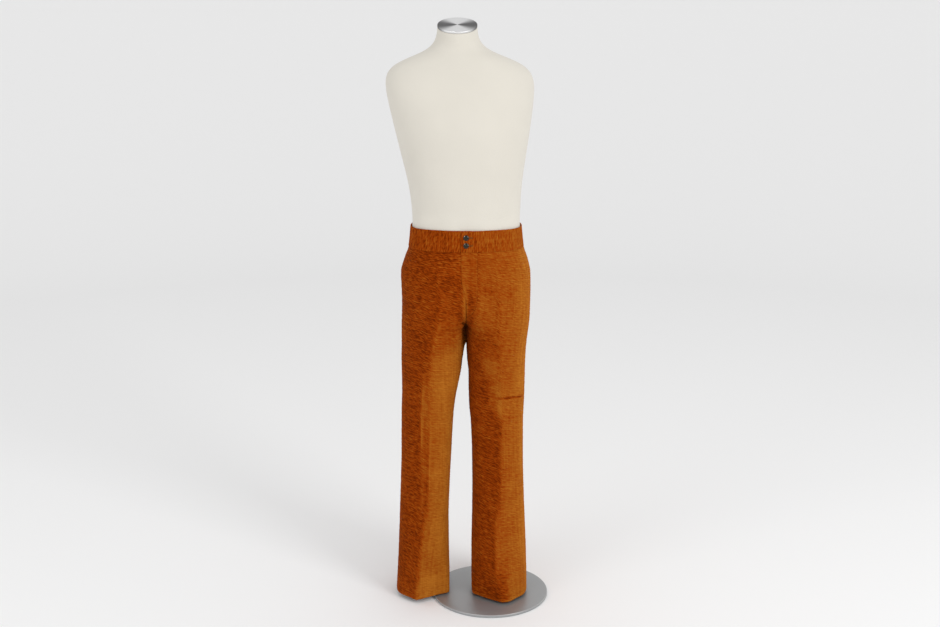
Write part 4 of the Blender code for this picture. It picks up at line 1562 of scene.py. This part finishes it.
def model_stitch():
    """One stitch, 1 long and 1 thick, that rises from the cloth and sinks back into it.

    Its length runs along X, and the cloth lies under it at Z = 0.
    """
    rings = [(thick / 2, place) for place, thick, sunk in STITCH_RINGS]
    piece = ringed("stitch", STITCH_SIDES, rings)
    turn = Matrix.Rotation(math.pi / 2, 4, "Y")
    piece.data.transform(turn)
    places = [place for place, thick, sunk in STITCH_RINGS]
    drops = [sunk for place, thick, sunk in STITCH_RINGS]
    for vert in piece.data.vertices:
        vert.co.z += STITCH_RISE - STITCH_SINK * np.interp(vert.co.x, places, drops)
    mesh = piece.data
    points = np.array([tuple(vert.co) for vert in mesh.vertices])
    faces = [tuple(face.vertices) for face in mesh.polygons]
    bpy.data.objects.remove(piece)
    bpy.data.meshes.remove(mesh)
    return points, faces


def join_stitches(name, stitches, width):
    """Copies of the stitch joined in one mesh: each has its middle, its span and its up side."""
    points, faces = model_stitch()
    all_points, all_faces = [], []
    for middle, span, up in stitches:
        along = span.normalized()
        side = up.cross(along).normalized()
        up = along.cross(side)
        place = points * np.array([span.length, width, width])
        turned = place @ np.array([along, side, up]) + np.array(middle)
        offset = len(all_points) * len(points)
        all_points.append(turned)
        all_faces += [tuple(v + offset for v in face) for face in faces]
    mesh = bpy.data.meshes.new(name)
    mesh.from_pydata(np.concatenate(all_points).tolist(), [], all_faces)
    mesh.shade_smooth()
    return add_object(name, mesh)


def cloth_tree(name):
    """A finished cloth piece as a tree that rays can be cast on."""
    mesh = bpy.data.objects[name].data
    points = [vert.co for vert in mesh.vertices]
    return BVHTree.FromPolygons(points, [tuple(face.vertices) for face in mesh.polygons])


def drop_on(tree, x, z):
    """The point of the cloth straight behind a place seen from the front."""
    hit = tree.ray_cast(Vector((x, -1, z)), Vector(BACK))[0]
    if hit is None:
        raise ValueError(f"no cloth behind {x:.4f}, {z:.4f}")
    return hit


def lay_stitch(tree, ends):
    """A stitch between two places seen from the front: its middle, its span and its up side."""
    first, last = (drop_on(tree, x, z) for x, z in ends)
    return (first + last) / 2, last - first, Vector(FRONT)


# A stitch in a row covers this share of its pitch
STITCH_SHARE = 0.8


def row_of_stitches(tree, route, pitch):
    """Stitches laid end to end along a route of front places, each pressed into the pile."""
    route = np.array(route)
    steps = np.linalg.norm(np.diff(route, axis=0), axis=1)
    run = np.concatenate([[0], np.cumsum(steps)])
    count = int(run[-1] / pitch)
    stitches = []
    for k in range(count):
        places = (k + 0.5 - STITCH_SHARE / 2, k + 0.5 + STITCH_SHARE / 2)
        ends = [
            [np.interp(at * run[-1] / count, run, route[:, axis]) for axis in (0, 1)]
            for at in places
        ]
        stitches.append(lay_stitch(tree, ends))
    return stitches


# The fly's row of stitches: in from its sewn edge and below its top, how its foot rounds in as a
# J, and how near the J's foot comes to the centre
FLY_WIDTH = 30 * MM
FLY_STITCH_INSET = 2.2 * MM
FLY_STITCH_TOP = 1 * MM
FLY_CURVE = 62 * MM
FLY_FOOT = 1.8 * MM
FLY_STITCH_WIDTH = 0.75 * MM
ROUTE_STEPS = 60


def fly_stitching():
    """The row of stitches that holds the fly's facing, seen as a J on the wearer's left front."""
    low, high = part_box("fly")
    top = high.z - FLY_STITCH_TOP
    curve_top = low.z + FLY_STITCH_INSET + FLY_CURVE
    width = FLY_WIDTH - FLY_STITCH_INSET
    route = []
    for step in range(ROUTE_STEPS + 1):
        # Equal steps round the curve of the J, then up its stem
        turn = math.pi / 2 * min(1, 2 * step / ROUTE_STEPS)
        stem = max(0, 2 * step / ROUTE_STEPS - 1)
        x = CENTRE_X + max(width * math.sin(turn), FLY_FOOT)
        z = curve_top - FLY_CURVE * math.cos(turn) + (top - curve_top) * stem
        route.append((x, z))
    trim = bpy.context.scene.flares_trim
    stitches = row_of_stitches(cloth_tree("fly_cloth"), route, trim.stitch_length)
    piece = join_stitches("fly_stitching", stitches, FLY_STITCH_WIDTH)
    material = get_material(sewing_thread, "cotton_topstitch_thread", tuple(trim.thread))
    return finish_piece(piece, material, "corduroy")


# A worked buttonhole: a slit that runs from under the button to the wearer's left
HOLE_START = 1 * MM
HOLE_LENGTH = 15 * MM
HOLE_HALF_WIDTH = 0.9 * MM

# Its stitches start at this share of the half width, and round the slit's end there are this many
# times as many as would fit beside each other
HOLE_EDGE = 0.3
HOLE_FAN = 1.6
PURL_LENGTH = 1.7 * MM
PURL_WIDTH = 0.55 * MM
PURL_PITCH = 0.62 * MM


def buttonhole(which):
    """Purl stitches laid side by side along both edges of a slit and round its end."""
    tree = cloth_tree("waistband_left_cloth")
    trim = bpy.context.scene.flares_trim
    height = node_middle("button_" + which).z
    start = CENTRE_X + HOLE_START
    straight = int(HOLE_LENGTH / PURL_PITCH)
    round_end = int(math.pi * HOLE_HALF_WIDTH * HOLE_FAN / PURL_PITCH)
    places = [(k * PURL_PITCH, side, 0) for side in (1, -1) for k in range(straight)]
    places += [(HOLE_LENGTH, math.cos(t), math.sin(t)) for t in np.linspace(0, math.pi, round_end)]
    edge = HOLE_HALF_WIDTH * HOLE_EDGE
    stitches = []
    for run, up, out in places:
        reaches = (edge, edge + PURL_LENGTH)
        ends = [(start + run + out * reach, height + up * reach) for reach in reaches]
        stitches.append(lay_stitch(tree, ends))
    piece = join_stitches(f"buttonhole_{which}", stitches, PURL_WIDTH)
    material = get_material(sewing_thread, "buttonhole_silk", tuple(trim.buttonhole))
    return finish_piece(piece, material, "corduroy")


# The steps that build the part


class FLARES_OT_legs(bpy.types.Operator):
    """Cut the four leg panels with their pressed creases and turned-up hems"""

    bl_idname = "flares.legs"
    bl_label = "Leg panels"

    def execute(self, context):
        panels = [(face, leg) for face in ("front", "back") for leg in ("left", "right")]
        for seed, (face, leg) in enumerate(panels):
            sew(leg_cut(face, leg), seed)
        return {"FINISHED"}


class FLARES_OT_waistband(bpy.types.Operator):
    """Cut the two halves of the waistband, with their wales upright"""

    bl_idname = "flares.waistband"
    bl_label = "Waistband"

    def execute(self, context):
        for seed, leg in enumerate(("left", "right")):
            sew(band_cut(leg), BAND_SEED + seed)
        return {"FINISHED"}


class FLARES_OT_fly(bpy.types.Operator):
    """Cut the fly that laps over the centre seam"""

    bl_idname = "flares.fly"
    bl_label = "Fly"

    def execute(self, context):
        sew(fly_cut(), FLY_SEED)
        return {"FINISHED"}


class FLARES_OT_stitching(bpy.types.Operator):
    """Sew the fly's row of stitches and work the two buttonholes"""

    bl_idname = "flares.stitching"
    bl_label = "Stitching"

    def execute(self, context):
        fly_stitching()
        for which in ("upper", "lower"):
            buttonhole(which)
        return {"FINISHED"}


class FLARES_OT_buttons(bpy.types.Operator):
    """Press the two shank buttons of the waistband"""

    bl_idname = "flares.buttons"
    bl_label = "Buttons"

    def execute(self, context):
        for which in ("upper", "lower"):
            shank_button("button_" + which)
        return {"FINISHED"}


class FLARES_OT_form(bpy.types.Operator):
    """Cover the limbless form in jersey and close its neck with a spun plate"""

    bl_idname = "flares.form"
    bl_label = "Dress form"

    def execute(self, context):
        jersey_form()
        neck_plate()
        return {"FINISHED"}


class FLARES_OT_stand(bpy.types.Operator):
    """Turn the base plate, the post and its two sockets"""

    bl_idname = "flares.stand"
    bl_label = "Stand"

    def execute(self, context):
        for make in (base_plate, post, base_socket, form_socket):
            make()
        return {"FINISHED"}


# The camera stands a little to the wearer's left of the garment's centre
CAMERA_SHIFT = 10 * MM
SENSOR_WIDTH = 36

# The paper: its floor, the radius of its sweep, and the top of its wall
FLOOR_RADIUS = 4.6
SWEEP_RADIUS = 2.4
WALL_TOP = 6.5
SWEEP_STEPS = 24
SWEEP_SIDES = 128

# The lamps' places and sizes, and the height that they are aimed at
LAMPS = {
    "key": ((3.2, -3.4, 2.9), (1.8, 2.2)),
    "fill": ((-3.4, -3.0, 2.4), (2.2, 2.4)),
    "spark": ((-1.14, -2.18, 2.54), (0.3, 0.3)),
}
AIM_HEIGHT = 0.8


class FLARES_OT_stage(bpy.types.Operator):
    """Set up the floor, the backdrop, the lights and the camera"""

    bl_idname = "flares.stage"
    bl_label = "Stage"

    def execute(self, context):
        studio = context.scene.flares_studio
        self.paper("studio_floor", [(FLOOR_RADIUS, 0)], filled=True)
        wall = self.paper("studio_wall", self.wall_rings(), filled=False)
        # The room's light comes in from all sides, so the wall throws no shadow on the floor
        wall.visible_shadow = False
        wall.visible_diffuse = False
        camera = add_object("camera", bpy.data.cameras.new("camera"))
        camera.location = (CENTRE_X + CAMERA_SHIFT, -studio.camera_distance, studio.camera_height)
        camera.rotation_euler = (math.pi / 2 - studio.camera_pitch, 0, 0)
        camera.data.lens = studio.camera_lens
        camera.data.sensor_width = SENSOR_WIDTH
        context.scene.camera = camera
        for name, (place, size) in LAMPS.items():
            lamp = self.light(name, place, size, getattr(studio, name + "_power"))
            # The spark is only for the buttons to mirror
            lamp.visible_diffuse = name != "spark"
        world = bpy.data.worlds.new("studio_air")
        context.scene.world = world
        world.use_nodes = True
        air = world.node_tree.nodes["Background"]
        air.inputs["Color"].default_value = (1, 1, 1, 1)
        air.inputs["Strength"].default_value = studio.air
        context.scene.view_settings.view_transform = "Standard"
        return {"FINISHED"}

    def wall_rings(self):
        """The curve of the paper up from the floor, and its upright part."""
        rings = []
        for step in range(SWEEP_STEPS + 1):
            turn = math.pi / 2 * step / SWEEP_STEPS
            out = FLOOR_RADIUS + SWEEP_RADIUS * math.sin(turn)
            rings.append((out, SWEEP_RADIUS * (1 - math.cos(turn))))
        return rings + [(FLOOR_RADIUS + SWEEP_RADIUS, WALL_TOP)]

    def paper(self, name, rings, filled):
        """Part of the sweep, centred on the garment."""
        piece = ringed(name, SWEEP_SIDES, rings, filled)
        piece.data.transform(Matrix.Translation((CENTRE_X, 0, 0)))
        piece.data.shade_smooth()
        piece.data.materials.append(get_material(studio_paper))
        return piece

    def light(self, name, place, size, power):
        """A soft area light that faces the middle of the garment."""
        data = bpy.data.lights.new(name, "AREA")
        data.shape = "RECTANGLE"
        data.size, data.size_y = size
        data.energy = power
        lamp = add_object(name, data)
        lamp.location = place
        aim = Vector((CENTRE_X, 0, AIM_HEIGHT)) - lamp.location
        lamp.rotation_euler = aim.to_track_quat("-Z", "Y").to_euler()
        lamp.visible_camera = False
        return lamp


class FLARES_PT_panel(bpy.types.Panel):
    """Lists the steps that build the flares"""

    bl_label = "Corduroy flares"
    bl_idname = "FLARES_PT_panel"
    bl_space_type = "VIEW_3D"
    bl_region_type = "UI"
    bl_category = "Flares"

    def draw(self, context):
        for step in STEPS:
            self.layout.operator(step.bl_idname)


SETTINGS = {
    "flares_cloth": ClothSettings,
    "flares_trim": TrimSettings,
    "flares_form": FormSettings,
    "flares_studio": StudioSettings,
}
STEPS = (
    FLARES_OT_stage,
    FLARES_OT_legs,
    FLARES_OT_waistband,
    FLARES_OT_fly,
    FLARES_OT_stitching,
    FLARES_OT_buttons,
    FLARES_OT_form,
    FLARES_OT_stand,
)


def register():
    for kind in (*SETTINGS.values(), *STEPS, FLARES_PT_panel):
        bpy.utils.register_class(kind)
    for name, kind in SETTINGS.items():
        setattr(bpy.types.Scene, name, PointerProperty(type=kind))


def unregister():
    for name in SETTINGS:
        delattr(bpy.types.Scene, name)
    for kind in reversed((*SETTINGS.values(), *STEPS, FLARES_PT_panel)):
        bpy.utils.unregister_class(kind)


def main():
    register()
    for step in STEPS:
        getattr(bpy.ops.flares, step.bl_idname.split(".")[1])()


if __name__ == "__main__":
    main()
